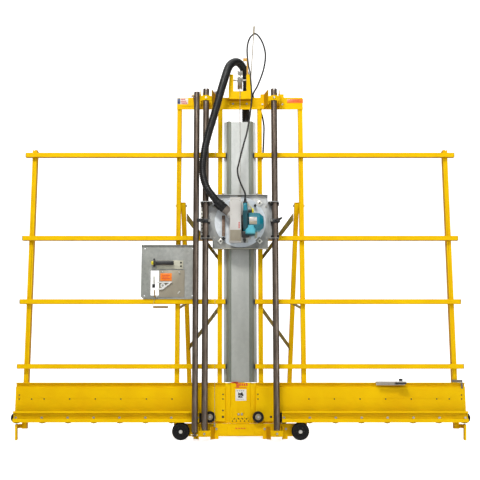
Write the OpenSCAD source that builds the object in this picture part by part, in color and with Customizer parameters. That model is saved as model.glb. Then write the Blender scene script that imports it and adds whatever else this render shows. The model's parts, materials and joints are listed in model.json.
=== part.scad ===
// Vertical panel saw: a leaning rack with roller channels, and a counterweighted
// saw carriage that rides on two guide tubes.
// X runs along the rack, +Y is the back, +Z is up. The origin is on the floor under the
// middle of the machine. Most parts are drawn in a leaning frame: x along the rack,
// y square to the rack (negative towards the operator), z up the slope.

/* [Overall] */
// Length over the two roller channels
overall_l = 3001; // [2996:1:3006]
// Lean of the rack from upright, in degrees
lean_deg = 10; // [9:0.5:11]
// Depth of the stand, from the front of the lower tube bolts to the back of the rear feet
stand_depth = 1025.4; // [1020:0.1:1030]
// Reach of the lower tube bolts in front of the rack's foot line
front_reach = 140.2; // [139.9:0.1:140.5]

/* [Frame] */
// Width of a post, seen from the front
post_w = 31.75; // [31.5:0.05:32]
// Depth of a post
post_d = 50.8; // [50:0.1:52]
// Side of a square rail
rail_s = 31.75; // [31.5:0.05:32]
// Centre of an outer frame post from the middle
outer_post_x = 429; // [427:1:431]
// Centre of an inner frame post from the middle
inner_post_x = 139.5; // [139:0.5:141]
// Centre of a rack end post from the middle
rack_post_x = 1445; // [1440:1:1450]
// Inner end of the rails from the middle
rail_x0 = 101; // [100:1:103]
// Outer end of the rails from the middle
rail_x1 = 1500; // [1495:1:1505]
// Wall of the square and flat tubes
wall = 2; // [1.8:0.1:2.2]

/* [Guides] */
// Outside diameter of a guide tube
tube_dia = 42.2; // [42:0.1:42.4]
// Centre of a guide tube from the middle
tube_x = 237; // [236:0.5:237.5]
// Guide tube axis in front of the posts
tube_out = 111; // [111:1:112]
// Top end of a guide tube, up the slope
tube_top = 2393; // [2390:1:2395]
// Bottom end of a guide tube, up the slope
tube_low = 52; // [50:1:54]

/* [Rollers] */
// Diameter of a rack roller
roller_dia = 74; // [73:0.5:75]
// Height of the wing rollers' axles, up the slope
roller_z = 135; // [134.5:0.5:135.5]
// Pitch of the rollers along a wing
roller_pitch = 171; // [170.8:0.1:171.2]
// Nearest wing roller from the middle
roller_x0 = 286; // [285.5:0.1:286.5]
// Rollers on each wing
roller_count = 8; // [8]

/* [Carriage] */
// Centre of the carriage at rest, up the slope
carriage_z = 1450; // [1448:1:1452]
// Side of the square carriage plate
plate_s = 378; // [377:1:379]
// Diameter of the turntable disc
disc_dia = 350; // [349:1:350]
// Diameter of the saw blade
blade_dia = 184; // [183:1:185]

/* [Lift] */
// Outside diameter of the lift pulley
pulley_dia = 134; // [133:1:135]
// Height of the pulley axle, up the slope
pulley_z = 2492; // [2490:1:2494]
// Pitch radius of the cable on the pulley
cable_r = 62; // [61.5:0.5:62]

/* [Hidden] */
$fn = 64;

yellow = "gold";
steel = "silver";
brown = "rosybrown";
black = "dimgray";
teal = "teal";
fit = 0.05;                        // radial clearance of a running fit
y_shift = front_reach - stand_depth / 2;
half_l = overall_l / 2;
tube_r = tube_dia / 2;
tube_y = -tube_out;
plate_t = 3;
plate_y = tube_y + 28;             // front face of the carriage plate
rail_z = [473, 910, 1349, 1941];   // centres of the four rails
rack_top = 1985;                   // top of the rack end posts
rack_low = 62;
foot_x = 1475;                     // inner side of the end feet
beam_z0 = 2280;                    // top beam, between these heights
beam_z1 = 2370;
beam_x = 447;
base_z0 = 14;                      // base beam, between these heights
base_z1 = 97.5;
base_x = 392;
base_d = 35;
chan_z0 = 105;                     // roller channels
chan_z1 = 178.5;
chan_x0 = 273.5;
chan_y = -97;
web_y = -75;
cap_t = 6.7;                       // plugs in the inner ends of the rails
wing_x0 = 103;
wing_x1 = 1504;
sheet_y = -25.4;                   // front face of the wing panels
sheet_t = 2;
wing_top = 366;
axle_r = 6;
roller_w = 34;
roller_y = -32;                    // back face of the rollers
centre_roller_x = [-203, 117];
centre_roller_z = 140;
pulley_y = -22;
rear_cable_y = pulley_y + cable_r;
bar_x = -301;                      // hold-down bar
bar_y = -122;
bar_pivot_z = 26;
bar_slot_z = 2340;                 // bolt that guides the top of the hold-down bar
wire_x = -172;
wire_y = -73;
wheel_r = 58;
wheel_w = 32;
wheel_x = 394.5;
wheel_y = -65.5;                     // front face of a wheel, before the shift
blade_x = -22;
arbor_y = -29;                     // in the carriage frame
arbor_z = -30;
motor_y = -71;
motor_z = -16;
motor_r = 67.5;
pin_angle = 43;                    // index pin, clockwise from the top of the disc
pin_r = 149.5;
stop_x = 1004;

// ---- frames and small helpers ----

module floor_frame() { translate([0, y_shift, 0]) children(); }
module lean() { floor_frame() rotate([-lean_deg, 0, 0]) children(); }
module carriage() { lean() translate([0, plate_y, carriage_z]) children(); }
module both() { children(); mirror([1, 0, 0]) children(); }
module box(a, b) { translate(a) cube(b - a); }
module rod_x(x0, x1, y, z, r) { translate([x0, y, z]) rotate([0, 90, 0]) cylinder(h = x1 - x0, r = r); }
module rod_y(x, y0, y1, z, r) { translate([x, y0, z]) rotate([-90, 0, 0]) cylinder(h = y1 - y0, r = r); }
module hex_y(x, y0, y1, z, r) { translate([x, y0, z]) rotate([-90, 0, 0]) cylinder(h = y1 - y0, r = r, $fn = 6); }
module hex_x(x0, x1, y, z, r) { translate([x0, y, z]) rotate([0, 90, 0]) cylinder(h = x1 - x0, r = r, $fn = 6); }
module pipe_z(z0, z1, r, t) {
    translate([0, 0, z0]) difference() {
        cylinder(h = z1 - z0, r = r);
        translate([0, 0, -1]) cylinder(h = z1 - z0 + 2, r = r - t);
    }
}

// Outline of a folded sheet of thickness t whose one side follows path p
function unit(a) = a / norm(a);
function left_of(a) = [-a[1], a[0]];
function fold_corner(p, i, t) = let(
    d0 = i > 0 ? unit(p[i] - p[i - 1]) : unit(p[1] - p[0]),
    d1 = i < len(p) - 1 ? unit(p[i + 1] - p[i]) : d0,
    n0 = left_of(d0), m = unit(n0 + left_of(d1))) p[i] + m * t / (m * n0);
function fold(p, t) = concat(p, [for (i = [len(p) - 1 : -1 : 0]) fold_corner(p, i, t)]);
// A folded sheet with its outline in (y, z), run along x
module sheet_x(p, x0, x1, t = sheet_t) {
    translate([x0, 0, 0]) rotate([90, 0, 90]) linear_extrude(x1 - x0) polygon(fold(p, t));
}
// A folded sheet with its outline in (x, y), run up z
module sheet_z(p, z0, z1, t = sheet_t) {
    translate([0, 0, z0]) linear_extrude(z1 - z0) polygon(fold(p, t));
}
// A bar of section w by d from point a to point b
module strut(a, b, w, d) {
    s = b - a;
    translate(a) rotate([0, acos(s[2] / norm(s)), atan2(s[1], s[0])])
        translate([-d / 2, -w / 2, 0]) cube([d, w, norm(s)]);
}
// Smooth curve through the points of p
function curve_at(a, b, c, d, t) = 0.5 * (2 * b + (c - a) * t + (2 * a - 5 * b + 4 * c - d) * t * t
    + (3 * b - a - 3 * c + d) * t * t * t);
function curve(p, n) = concat([for (i = [0 : len(p) - 2], k = [0 : n - 1])
    curve_at(p[max(i - 1, 0)], p[i], p[i + 1], p[min(i + 2, len(p) - 1)], k / n)], [p[len(p) - 1]]);
// A round cord of radius r along the points of p, which never run along side
module cord_along(p, r, n = 16, side = [0, 1, 0]) {
    last = len(p) - 1;
    rings = [for (i = [0 : last]) let(
        t = unit(p[min(i + 1, last)] - p[max(i - 1, 0)]),
        u = unit(cross(t, side)), v = cross(u, t))
        for (k = [0 : n - 1]) p[i] + r * (cos(360 * k / n) * u + sin(360 * k / n) * v)];
    sides = [for (i = [0 : last - 1], k = [0 : n - 1])
        [i * n + k, i * n + (k + 1) % n, (i + 1) * n + (k + 1) % n, (i + 1) * n + k]];
    polyhedron(points = rings, faces = concat([[for (k = [n - 1 : -1 : 0]) k]], sides,
        [[for (k = [0 : n - 1]) last * n + k]]));
}
// A straight rod of radius r from a to b
module rod_between(a, b, r) {
    s = b - a;
    translate(a) rotate([0, acos(s[2] / norm(s)), atan2(s[1], s[0])]) cylinder(h = norm(s), r = r);
}

// ---- where the fasteners go ----

// Bolts through each post into the rail in front of it
module at_rail_bolts() {
    for (x = [inner_post_x, outer_post_x, rack_post_x], z = rail_z) translate([x, 0, z]) children();
}
module at_rollers() {
    for (i = [0 : roller_count - 1]) translate([roller_x0 + i * roller_pitch, 0, roller_z]) children();
}
// One screw for each wing roller, and two more near the end of the wing
module at_panel_screws() {
    for (i = [1 : roller_count - 2]) translate([roller_x0 + i * roller_pitch, 0, 257]) children();
    for (x = [1395, 1478]) translate([x, 0, 257]) children();
    translate([1478, 0, 283]) children();
}
module at_centre_rollers() {
    for (x = centre_roller_x) translate([x, 0, centre_roller_z]) children();
}

// ---- frame ----

module hollow_post(x, z0, z1) {
    difference() {
        box([x - post_w / 2, 0, z0], [x + post_w / 2, post_d, z1]);
        box([x - post_w / 2 + wall, wall, z0 - 1], [x + post_w / 2 - wall, post_d - wall, z1 + 1]);
    }
}
module posts() {
    color(yellow) lean() both() difference() {
        union() {
            hollow_post(inner_post_x, base_z0 + 3, beam_z1 - 3);
            hollow_post(outer_post_x, base_z0 + 3, beam_z1 - 3);
            hollow_post(rack_post_x, rack_low, rack_top);
        }
        at_rail_bolts() rod_y(0, -1, post_d + 1, 0, 4.2);
        rod_x(outer_post_x - 20, outer_post_x + 22, post_d / 2, leg_pivot_z, 5.2);
        translate([rack_post_x, -1, rack_top]) rotate([0, 45, 0]) cube([8, post_d + 2, 30], center = false);
    }
}
leg_pivot_z = 1588;

module top_beam() {
    // Slotted ear that guides the top of the hold-down bar
    color(yellow) lean() difference() {
        box([bar_x - 27, bar_y - 20, bar_slot_z - 15], [bar_x - 24, -2, bar_slot_z + 15]);
        for (y = [bar_y, bar_y + 66]) rod_x(bar_x - 40, bar_x, y, bar_slot_z, 6.2);
        box([bar_x - 40, bar_y, bar_slot_z - 6.2], [bar_x, bar_y + 66, bar_slot_z + 6.2]);
    }
    color(yellow) lean() difference() {
        union() {
            sheet_x([[-8, beam_z0], [-8, beam_z0 + 17], [-3, beam_z0 + 17.01], [-3, beam_z1],
                [post_d + 3, beam_z1], [post_d + 3, beam_z0 + 20]], -beam_x, beam_x, -2.9);
        }
        rod_z_hole(0, rear_cable_y, beam_z1 - 6, beam_z1 + 2, 7);
        for (s = [-1, 1], x = bracket_feet) rod_y(s * (tube_x + x), -20, 4, beam_z0 + 36, 4.2);
        for (x = [-49, 49]) rod_y(x, -20, 4, 2322, 4.2);
    }
}
module rod_z_hole(x, y, z0, z1, r) { translate([x, y, z0]) cylinder(h = z1 - z0, r = r); }

module base_beam() {
    color(yellow) difference() {
        lean() sheet_x([[0, base_z0 + 3], [0, base_z0], [-base_d, base_z0], [-base_d, base_z1], [0, base_z1]],
            -base_x, base_x, -3);
        floor_frame() both() rod_y(wheel_x, -80, 30, wheel_r, 8.2);
        lean() both() for (x = bracket_feet) rod_y(tube_x + x, -60, 0, 62, 5.2);
    }
    // Ears that carry the pivot of the hold-down bar
    color(yellow) lean() difference() {
        for (e = [[-18, 0], [15, -3]])
            box([bar_x + e[0], bar_y - 12, base_z0], [bar_x + e[0] + 3, e[1] - base_d, base_z0 + 24]);
        rod_x(bar_x - 30, bar_x + 30, bar_y, bar_pivot_z, 5.2);
    }
}

module base_cover() {
    color(yellow) lean() difference() {
        union() {
            sheet_z([[-84, -6], [-62, -15], [62, -15], [84, -6]], base_z1 + 0.5, 205);
            sheet_z([[-74, -6], [-62, -15], [62, -15], [74, -6]], 205, 366);
            sheet_z([[-88, -base_d], [-66, -base_d - 6], [66, -base_d - 6], [88, -base_d]], base_z0 + 6, base_z1 - 6, -2);
            for (x = [-52, -14, 24]) box([x - 2.5, -18, 142], [x + 2.5, -14.5, 194]);
        }
        for (i = [0 : 11]) translate([-60 + i * 11, -20, i % 2 == 0 ? 132 : 124])
            rotate([-90, 0, 0]) rotate([0, 0, 90]) cylinder(h = 12, r = 4, $fn = 3);
    }
}

// Sheet-metal duct behind the saw: flanges, two peaked ridges and a recessed middle panel
dust_z0 = 368;
dust_z1 = 2188;
module dust_channel() {
    color(steel) lean() {
        difference() {
            union() {
                sheet_z([[-112, 0.1], [-94, 0.1], [-91, -12], [-78, -26], [-64, -12], [-61, -5],
                    [61, -5], [64, -12], [78, -26], [91, -12], [94, 0.1], [112, 0.1]],
                    dust_z0, dust_z1, 1.6);
                box([-112, 1.4, dust_z0], [112, 3.2, dust_z1]);
            }
            rod_y(hose_end[0], -1, 5, hose_end[2] - 12, 26);
        }
        // Spigot where the hose joins the duct at the top
        translate([hose_end[0], 3.2, hose_end[2] - 12]) rotate([-90, 0, 0]) difference() {
            cylinder(h = 12, r = 27);
            translate([0, 0, -1]) cylinder(h = 14, r = 24);
        }
        // Outlet for the shop's extraction hose, low at the back
        translate([0, 3.2, 560]) rotate([-90, 0, 0]) translate([75, 0, 0]) difference() {
            union() { cylinder(h = 95, r = 31.75); cylinder(h = 2, r = 35); }
            translate([0, 0, -1]) cylinder(h = 98, r = 29.5);
        }
    }
}

module guide_tubes() {
    color(brown) lean() both() translate([tube_x, tube_y, 0]) difference() {
        pipe_z(tube_low, tube_top, tube_r, 3);
        for (z = [tube_low - 1, tube_top - 11]) translate([-2.5, -30, z]) cube([5, 60, 12]);
    }
}

// Folded bracket that holds one end of a guide tube off a beam: a V nose in front of the
// tube between two tall legs, the inner one flared, with a foot on each leg
leg_in = -41;
leg_out = 41;
module tube_bracket(nose_z, leg_z, back) {
    front = tube_y - 4;
    sheet_z([[leg_in, front], [0, tube_y - 31], [leg_out, front]], nose_z[0], nose_z[1], 3);
    sheet_z([[leg_in - 50, back], [leg_in - 25, back], [leg_in, front]], leg_z[0], leg_z[1], 3);
    sheet_z([[leg_out, front], [leg_out, back], [leg_out + 34, back]], leg_z[0], leg_z[1], 3);
    box([20, tube_y - 17, nose_z[1] - 1], [23, tube_y - 14, nose_z[1] + 18]);
}
bracket_feet = [-77, 64];
module tube_brackets() {
    color(yellow) lean() both() translate([tube_x, 0, 0]) {
        difference() {
            tube_bracket([beam_z0 + 26, beam_z0 + 62], [beam_z0 + 4, beam_z1 + 22], -11);
            rod_y(0, tube_y - 50, tube_y, beam_z0 + 44, 5);
            for (x = bracket_feet) rod_y(x, -20, 0, beam_z0 + 36, 4.2);
        }
        difference() {
            tube_bracket([14, 54], [-4, 78], -base_d - 3);
            rod_y(0, tube_y - 50, tube_y, 34, 5);
            for (x = bracket_feet) rod_y(x, -60, 0, 62, 5.2);
        }
    }
}

// ---- wings ----

module wing_panels() {
    color(yellow) lean() both() difference() {
        sheet_x([[sheet_y, 110], [sheet_y, 335], [sheet_y + 14, 341], [sheet_y + 14, 357],
            [sheet_y, 360], [sheet_y, wing_top], [-2, wing_top]], wing_x0, wing_x1, -sheet_t);
        at_rollers() rod_y(0, -30, -20, 0, axle_r + 0.5);
        at_panel_screws() rod_y(0, -30, -20, 0, 3);
        for (x = centre_roller_x) rod_y(abs(x), -30, -20, centre_roller_z, axle_r + 0.5);
    }
}

module roller_channels() {
    color(yellow) lean() both() difference() {
        sheet_x([[chan_y, chan_z0 + 25], [chan_y, chan_z0], [web_y, chan_z0], [web_y, chan_z1],
            [chan_y, chan_z1], [chan_y, chan_z1 - 12]], chan_x0, half_l, 2.5);
        at_rollers() rod_y(0, -80, -60, 0, axle_r + 0.5);
        rod_y(half_l - 10, -80, -60, chan_z1 - 20, 3.5);
    }
}

module rack_rails() {
    color(yellow) lean() both() difference() {
        for (z = rail_z) difference() {
            box([rail_x0, -rail_s, z - rail_s / 2], [rail_x1, 0, z + rail_s / 2]);
            box([rail_x0 - 1, -rail_s + wall, z - rail_s / 2 + wall],
                [rail_x1 + 1, -wall, z + rail_s / 2 - wall]);
        }
        at_rail_bolts() rod_y(0, -wall - 1, 1, 0, 4.2);
    }
}
// Moulded plugs in both ends of each rail
module rail_caps() {
    inner = rail_s / 2 - wall - 0.2;
    color(black) lean() both() for (z = rail_z) {
        box([rail_x0 - cap_t, -rail_s, z - rail_s / 2], [rail_x0, 0, z + rail_s / 2]);
        box([rail_x0, -rail_s / 2 - inner, z - inner], [rail_x0 + 14, -rail_s / 2 + inner, z + inner]);
        box([rail_x1, -rail_s, z - rail_s / 2], [rail_x1 + 3, 0, z + rail_s / 2]);
        box([rail_x1 - 14, -rail_s / 2 - inner, z - inner], [rail_x1, -rail_s / 2 + inner, z + inner]);
    }
}

// Bars that stand the wing ends on the floor, on arms from the foot of the end posts
module end_feet() {
    color(yellow) both() {
        floor_frame() box([foot_x, -64, 0], [foot_x + 12, -34, 103]);
        lean() box([foot_x, -62, 66], [foot_x + 12, 44, 92]);
        lean() box([rack_post_x + post_w / 2, 8, 66], [foot_x + 12, 44, 92]);
    }
}

// ---- rear stand ----

leg_top_y = post_d / 2 * cos(lean_deg) + leg_pivot_z * sin(lean_deg);
leg_top_z = leg_pivot_z * cos(lean_deg) - post_d / 2 * sin(lean_deg);
leg_top = [outer_post_x - 33.5, leg_top_y, leg_top_z];
leg_foot = [373, stand_depth - front_reach - 34, 0];
pad_t = 6;
module leg_tube(a, b) {
    difference() {
        strut(a - 20 * unit(b - a), b + 30 * unit(b - a), rail_s, rail_s);
        strut(a - 60 * unit(b - a), b + 60 * unit(b - a), rail_s - 2 * wall, rail_s - 2 * wall);
    }
}
module rear_legs() {
    brace_at = leg_top + (leg_foot - leg_top) * 0.672;
    color(yellow) both() floor_frame() difference() {
        union() {
            difference() {
                leg_tube(leg_top, leg_foot);
                box(leg_foot - [60, 90, 60], leg_foot + [60, 90, pad_t - 0.5]);
            }
            translate([leg_foot[0], leg_foot[1], 0]) box([-28, -34, 0], [28, 34, pad_t]);
        }
        for (y = [-25, 25]) translate([leg_foot[0], leg_foot[1] + y, -1]) cylinder(h = pad_t + 2, r = 5);
        translate(leg_top - [30, 0, 0]) rotate([0, 90, 0]) cylinder(h = 60, r = 5.2);
    }
}
// Flat bars: across the back of the posts, and from the posts back to the legs
module braces() {
    along = leg_foot - leg_top;
    low_end = leg_top + along * 0.672;
    stay_end = leg_top + along * 0.45;
    color(yellow) both() {
        lean() difference() {
            translate([0, post_d, 0]) rotate([90, 0, 0]) translate([0, 0, -5]) linear_extrude(5)
                polygon([[inner_post_x - 12, 1205], [inner_post_x + 12, 1205],
                    [outer_post_x + 10, 1570], [outer_post_x + 10, 1600], [outer_post_x - 14, 1600]]);
            box([outer_post_x - post_w / 2 - 40, post_d - 1, 1480],
                [outer_post_x - post_w / 2 - 0.3, post_d + 9, 1660]);
        }
        floor_frame() difference() {
            strut([inner_post_x, 8 + 872 * sin(lean_deg) + post_d, 872 * cos(lean_deg)], low_end, 5, 30);
            rotate([-lean_deg, 0, 0]) box([0, -100, 0], [600, post_d, 3000]);
            strut(leg_top, leg_foot, rail_s + 0.4, rail_s + 0.4);
            translate(low_end) rotate([0, 0, -atan2(low_end[0] - inner_post_x, 500)])
                box([-100, 14, -200], [100, 200, 200]);
        }
        floor_frame() difference() {
            strut([outer_post_x, post_d + 860 * sin(lean_deg), 860 * cos(lean_deg)], stay_end, 5, 18);
            rotate([-lean_deg, 0, 0]) box([0, -100, 0], [600, post_d, 3000]);
            strut(leg_top, leg_foot, rail_s + 0.4, rail_s + 0.4);
            translate(stay_end) box([-100, 14, -200], [100, 200, 200]);
        }
    }
}

// ---- lift ----

module pulley_bracket() {
    color(yellow) lean() {
        difference() {
            union() {
                both() {
                    box([46, -60, 2344], [49, -3, 2522]);
                    box([46, -4, beam_z1], [49, 30, 2522]);
                    translate([0, -57, 0]) rotate([90, 0, 0]) linear_extrude(3)
                        polygon([[46, 2344], [80, 2344], [80, 2420], [72, 2522], [46, 2522]]);
                }
                box([-80, -60, 2344], [80, -57, 2398]);
                box([-80, -60, 2341], [80, -3, 2344]);
                box([-76, -6, 2300], [76, -3, 2344]);
            }
            rod_x(-60, 60, pulley_y, pulley_z, 6.2);
            for (s = [-1, 1]) rod_y(s * 49, -10, 0, 2322, 4.2);
        }
    }
}
module hose_arm() {
    color("goldenrod") lean() {
        box([49.2, 2, 2440], [60, 8, 2668]);
        box([24, 2, 2646], [49.2, 8, 2668]);
    }
}
// Springy rod that carries the cord clear of the saw
whip_base = [76, -50, 2470];
whip_top = [100, -30, 2845];
module cord_whip() {
    color("tan") lean() {
        along = unit(whip_top - whip_base);
        rod_between(whip_base, whip_top, 3);
        rod_between(whip_top - 5 * along, whip_top + 52 * along, 6);
        rod_y(whip_base[0], -56.9, -44, whip_base[2], 6);
        rod_x(whip_top[0], whip_top[0] + 16, whip_top[1], whip_top[2], 2.5);
    }
}
weight_r = 28;
weight_z = 643;                    // its foot, at rest
module counterweight_tube() {
    color(steel) lean() translate([0, rear_cable_y, 0]) {
        pipe_z(30, 2178, weight_r + 2.1, 2);
        translate([0, 0, 26]) cylinder(h = 4.1, r = weight_r + 2.1);
        both() for (z = [300, 1650]) box([weight_r + 0.7, -2, z], [inner_post_x - post_w / 2, 2, z + 30]);
    }
}
module counterweight() {
    color(steel) lean() translate([0, rear_cable_y, weight_z]) {
        cylinder(h = 260, r = weight_r);
        translate([0, 0, 260]) cylinder(h = 14, r = 8);
    }
}
module lift_cable() {
    n = 18;
    over = [for (k = [0 : n]) [0, pulley_y - cable_r * cos(180 * k / n), pulley_z + cable_r * sin(180 * k / n)]];
    color(steel) lean() {
        r = 2;
        rod_line([0, pulley_y - cable_r, carriage_z + plate_s / 2 + 1], [0, pulley_y - cable_r, pulley_z], r);
        rod_line([0, rear_cable_y, weight_z + 275], [0, rear_cable_y, pulley_z], r);
        translate([0, pulley_y, pulley_z]) rotate([0, 90, 0]) rotate([0, 0, 90])
            rotate_extrude(angle = 180) translate([cable_r, 0]) circle(r = r);
    }
}
module rod_line(a, b, r) { translate(a) cylinder(h = b[2] - a[2], r = r); }

module pulley() {
    groove = cable_r - 2.2;
    color(steel) lean() translate([0, pulley_y, pulley_z]) rotate([0, 90, 0]) rotate_extrude()
        polygon([[6 + fit, -20], [14, -20], [14, -17], [pulley_dia / 2, -17], [pulley_dia / 2, -12],
            [groove, -4], [groove, 4], [pulley_dia / 2, 12], [pulley_dia / 2, 17], [14, 17],
            [14, 20], [6 + fit, 20]]);
}

// ---- fasteners and axles ----

module frame_bolts() {
    color(steel) lean() {
        both() at_rail_bolts() {
            rod_y(0, -10, post_d, 0, 4);
            hex_y(0, post_d, post_d + 5, 0, 7.5);
        }
        both() for (z = [beam_z0 + 44, 34]) {
            hex_y(tube_x, tube_y - 36, tube_y - 31.05, z, 7.5);
            rod_y(tube_x, tube_y - 31, tube_y - tube_r - 0.2, z, 4.5);
        }
        both() hex_y(49, -10.5, -6, 2322, 8);
        both() rod_y(49, -6, 0, 2322, 4);
        both() for (x = bracket_feet) {
            hex_y(tube_x + x, -base_d - 9, -base_d - 3, 62, 8);
            rod_y(tube_x + x, -base_d - 3, -base_d + 12, 62, 5);
            hex_y(tube_x + x, -17, -11, beam_z0 + 36, 7);
            rod_y(tube_x + x, -11, 2, beam_z0 + 36, 4);
        }
        both() {
            rod_x(outer_post_x - 52, outer_post_x + 20, post_d / 2, leg_pivot_z, 5);
            hex_x(outer_post_x + post_w / 2, outer_post_x + post_w / 2 + 7, post_d / 2, leg_pivot_z, 9);
            hex_x(outer_post_x - 59, outer_post_x - 51.5, post_d / 2, leg_pivot_z, 9);
        }
    }
}
module axles() {
    color(steel) {
        lean() {
            both() at_rollers() {
                rod_y(0, web_y - 3, -16, 0, axle_r);
                hex_y(0, web_y - 7.5, web_y - 2.5, 0, 9);
                hex_y(0, sheet_y + sheet_t, -16, 0, 9);
            }
            at_centre_rollers() {
                rod_y(0, -69.6, -16, 0, axle_r);
                hex_y(0, -73.5, -69.6, 0, 9);
                hex_y(0, sheet_y + sheet_t, -16, 0, 9);
            }
            rod_x(-58, 58, pulley_y, pulley_z, 6);
            rod_x(bar_x - 23, bar_x + 21, bar_y, bar_pivot_z, 5);
            hex_x(50, 57, pulley_y, pulley_z, 10);
            hex_x(-57, -50, pulley_y, pulley_z, 10);
        }
        floor_frame() both() {
            rod_y(wheel_x, wheel_y - 4, -12, wheel_r, 8);
            rod_y(wheel_x, wheel_y - 8, wheel_y - 2, wheel_r, 12);
        }
    }
}
module guide_wire() {
    top = beam_z1 + 23;
    low = base_z0 + 68;
    color(steel) lean() {
        translate([wire_x, wire_y, low]) cylinder(h = top - low, r = 1.2);
        translate([wire_x, wire_y, top - 17]) cylinder(h = 17, r = 7);
        translate([wire_x, wire_y, low]) cylinder(h = 24, r = 3.8);
        box([wire_x - 7, wire_y - 7, top], [wire_x + 7, -3, top + 3]);
        box([wire_x - 7, -3, beam_z1 + 0.1], [wire_x + 7, 0, top + 3]);
        box([wire_x - 7, wire_y - 7, low - 3], [wire_x + 7, -base_d, low]);
    }
}

// ---- hold-down bar ----

module hold_down_bar() {
    color(brown) lean() translate([bar_x, bar_y, 0]) {
        difference() {
            union() {
                pipe_z(44, 2366, 20, 3);
                translate([0, 0, 40]) cylinder(h = 26, r = 16);
                translate([0, 0, 16]) cylinder(h = 26, r = 12);
            }
            rod_x(-30, 30, 0, bar_pivot_z, 5 + fit);
        }
        rod_x(-34, 20, 0, bar_slot_z, 5);
        hex_x(-38, -33, 0, bar_slot_z, 9);
    }
}

// ---- carriage ----

bracket_z0 = -122;
bracket_z1 = 134;
module bracket_side(x1) {
    difference() {
        union() {
            box([150, plate_t, bracket_z0], [x1, 2 * plate_t, bracket_z1]);
            for (z = [bracket_z0, bracket_z1 - 3]) box([190, -60, z], [x1, 2 * plate_t, z + 3]);
        }
        translate([tube_x, tube_y - plate_y, -140]) cylinder(h = 280, r = tube_r + 2.5);
        if (x1 > 265) for (i = [0 : 8]) rod_y(263, 0, 10, -98 + i * 26, 4.5);
    }
}
module carriage_plate() {
    h = plate_s / 2;
    color(steel) carriage() {
        difference() {
            union() {
                box([-h, 0, -h], [h, plate_t, h]);
                box([-h, -22, h - 3], [h, 0, h]);
                box([-h, -18, -h], [h, 0, -h + 3]);
                box([-h, -8, -h], [-h + 3, 0, h]);
                box([h - 3, -8, -h], [h, 0, h]);
            }
            rod_y(0, -1, 10, 0, 140);
            for (x = [-180, 180], z = [-108, 108]) rod_y(x, -1, 5, z, 4);
            for (a = [pin_angle, pin_angle + 90]) rotate([0, a, 0]) rod_y(0, -6, 10, pin_r, 5.2);
        }
        bracket_side(262);
        mirror([1, 0, 0]) bracket_side(272.5);
        // Four square clips that keep the turntable on the plate
        for (a = [45 : 90 : 315]) rotate([0, a, 0]) {
            box([disc_dia / 2 + 0.5, -3.5, -19], [208, 0, 19]);
            box([164, -6, -19], [208, -3.5, 19]);
        }
    }
}
strap_h = 26;
module carriage_bearings() {
    reach = tube_r + fit + 8;
    color(black) carriage() both() translate([tube_x, tube_y - plate_y, 0]) {
        for (z = [bracket_z0 + 15, bracket_z1 - 15], a = [45 : 90 : 315]) translate([0, 0, z])
            rotate([0, 0, a]) translate([reach, 0, 0]) rotate([90, 0, 0]) cylinder(h = 9, r = 8, center = true);
        for (z = [bracket_z0 + 3, bracket_z1 - 12], a = [45 : 90 : 315]) rotate([0, 0, a])
            translate([reach, 0, 0]) rotate([0, 0, 45]) box([-2.5, -2.5, z], [2.5, 2.5, z + 9]);
        // Lock strap across the front of the tube
        difference() {
            union() {
                translate([0, 0, -strap_h / 2]) cylinder(h = strap_h, r = tube_r + 6);
                box([-30, -20, -strap_h / 2], [-18, 31, strap_h / 2]);
            }
            translate([0, 0, -strap_h]) cylinder(h = 2 * strap_h, r = tube_r + 0.6);
            box([10, -5, -strap_h], [40, 40, strap_h]);
        }
        rod_y(16, -46, -tube_r + 2, 0, 5);
        rod_y(16, -49, -44.4, 0, 8);
    }
}
// Cam lever of a tube lock, turning on a stud square to the rack
module lock_lever(tip_z) {
    difference() {
        union() {
            rod_y(0, -44, -27, 0, 9);
            rotate([0, -atan2(tip_z, 36), 0]) translate([0, -43, 0])
                linear_extrude_y(6.5, [[-10, -9], [-10, 9], [2, 11], [30, 6], [38, 2], [38, -2], [30, -6],
                    [2, -11]]);
        }
        rod_y(0, -50, -20, 0, 5 + fit);
    }
}
module linear_extrude_y(t, p) { rotate([90, 0, 0]) translate([0, 0, -t]) linear_extrude(t) polygon(p); }
module lock_left() {
    color(black) carriage() translate([-tube_x - 16, tube_y - plate_y, 0]) mirror([1, 0, 0]) lock_lever(4);
}
module lock_right() {
    color(black) carriage() translate([tube_x + 16, tube_y - plate_y, 0]) lock_lever(22);
}

module blade_slot(d) { box([blade_x - 9, -40, arbor_z - 100], [blade_x + 9, d, arbor_z + 100]); }
module turntable() {
    color(steel) carriage() difference() {
        union() {
            rod_y(0, -3.2, -0.2, 0, disc_dia / 2);
            rod_y(0, -0.4, 3.3, 0, 140 - 0.09);
            rod_y(0, 3.2, 5, 0, 142.5);
            rotate([0, pin_angle, 0]) rod_y(0, -12, -3, pin_r, 9);
        }
        blade_slot(10);
        rotate([0, pin_angle, 0]) rod_y(0, -14, 10, pin_r, 5 + fit);
    }
}
module index_pin() {
    color(black) carriage() rotate([0, pin_angle, 0]) {
        rod_y(0, -24, -0.6, pin_r, 5);
        rod_y(0, -34, -24, pin_r, 9);
    }
}

// ---- saw ----

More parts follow.
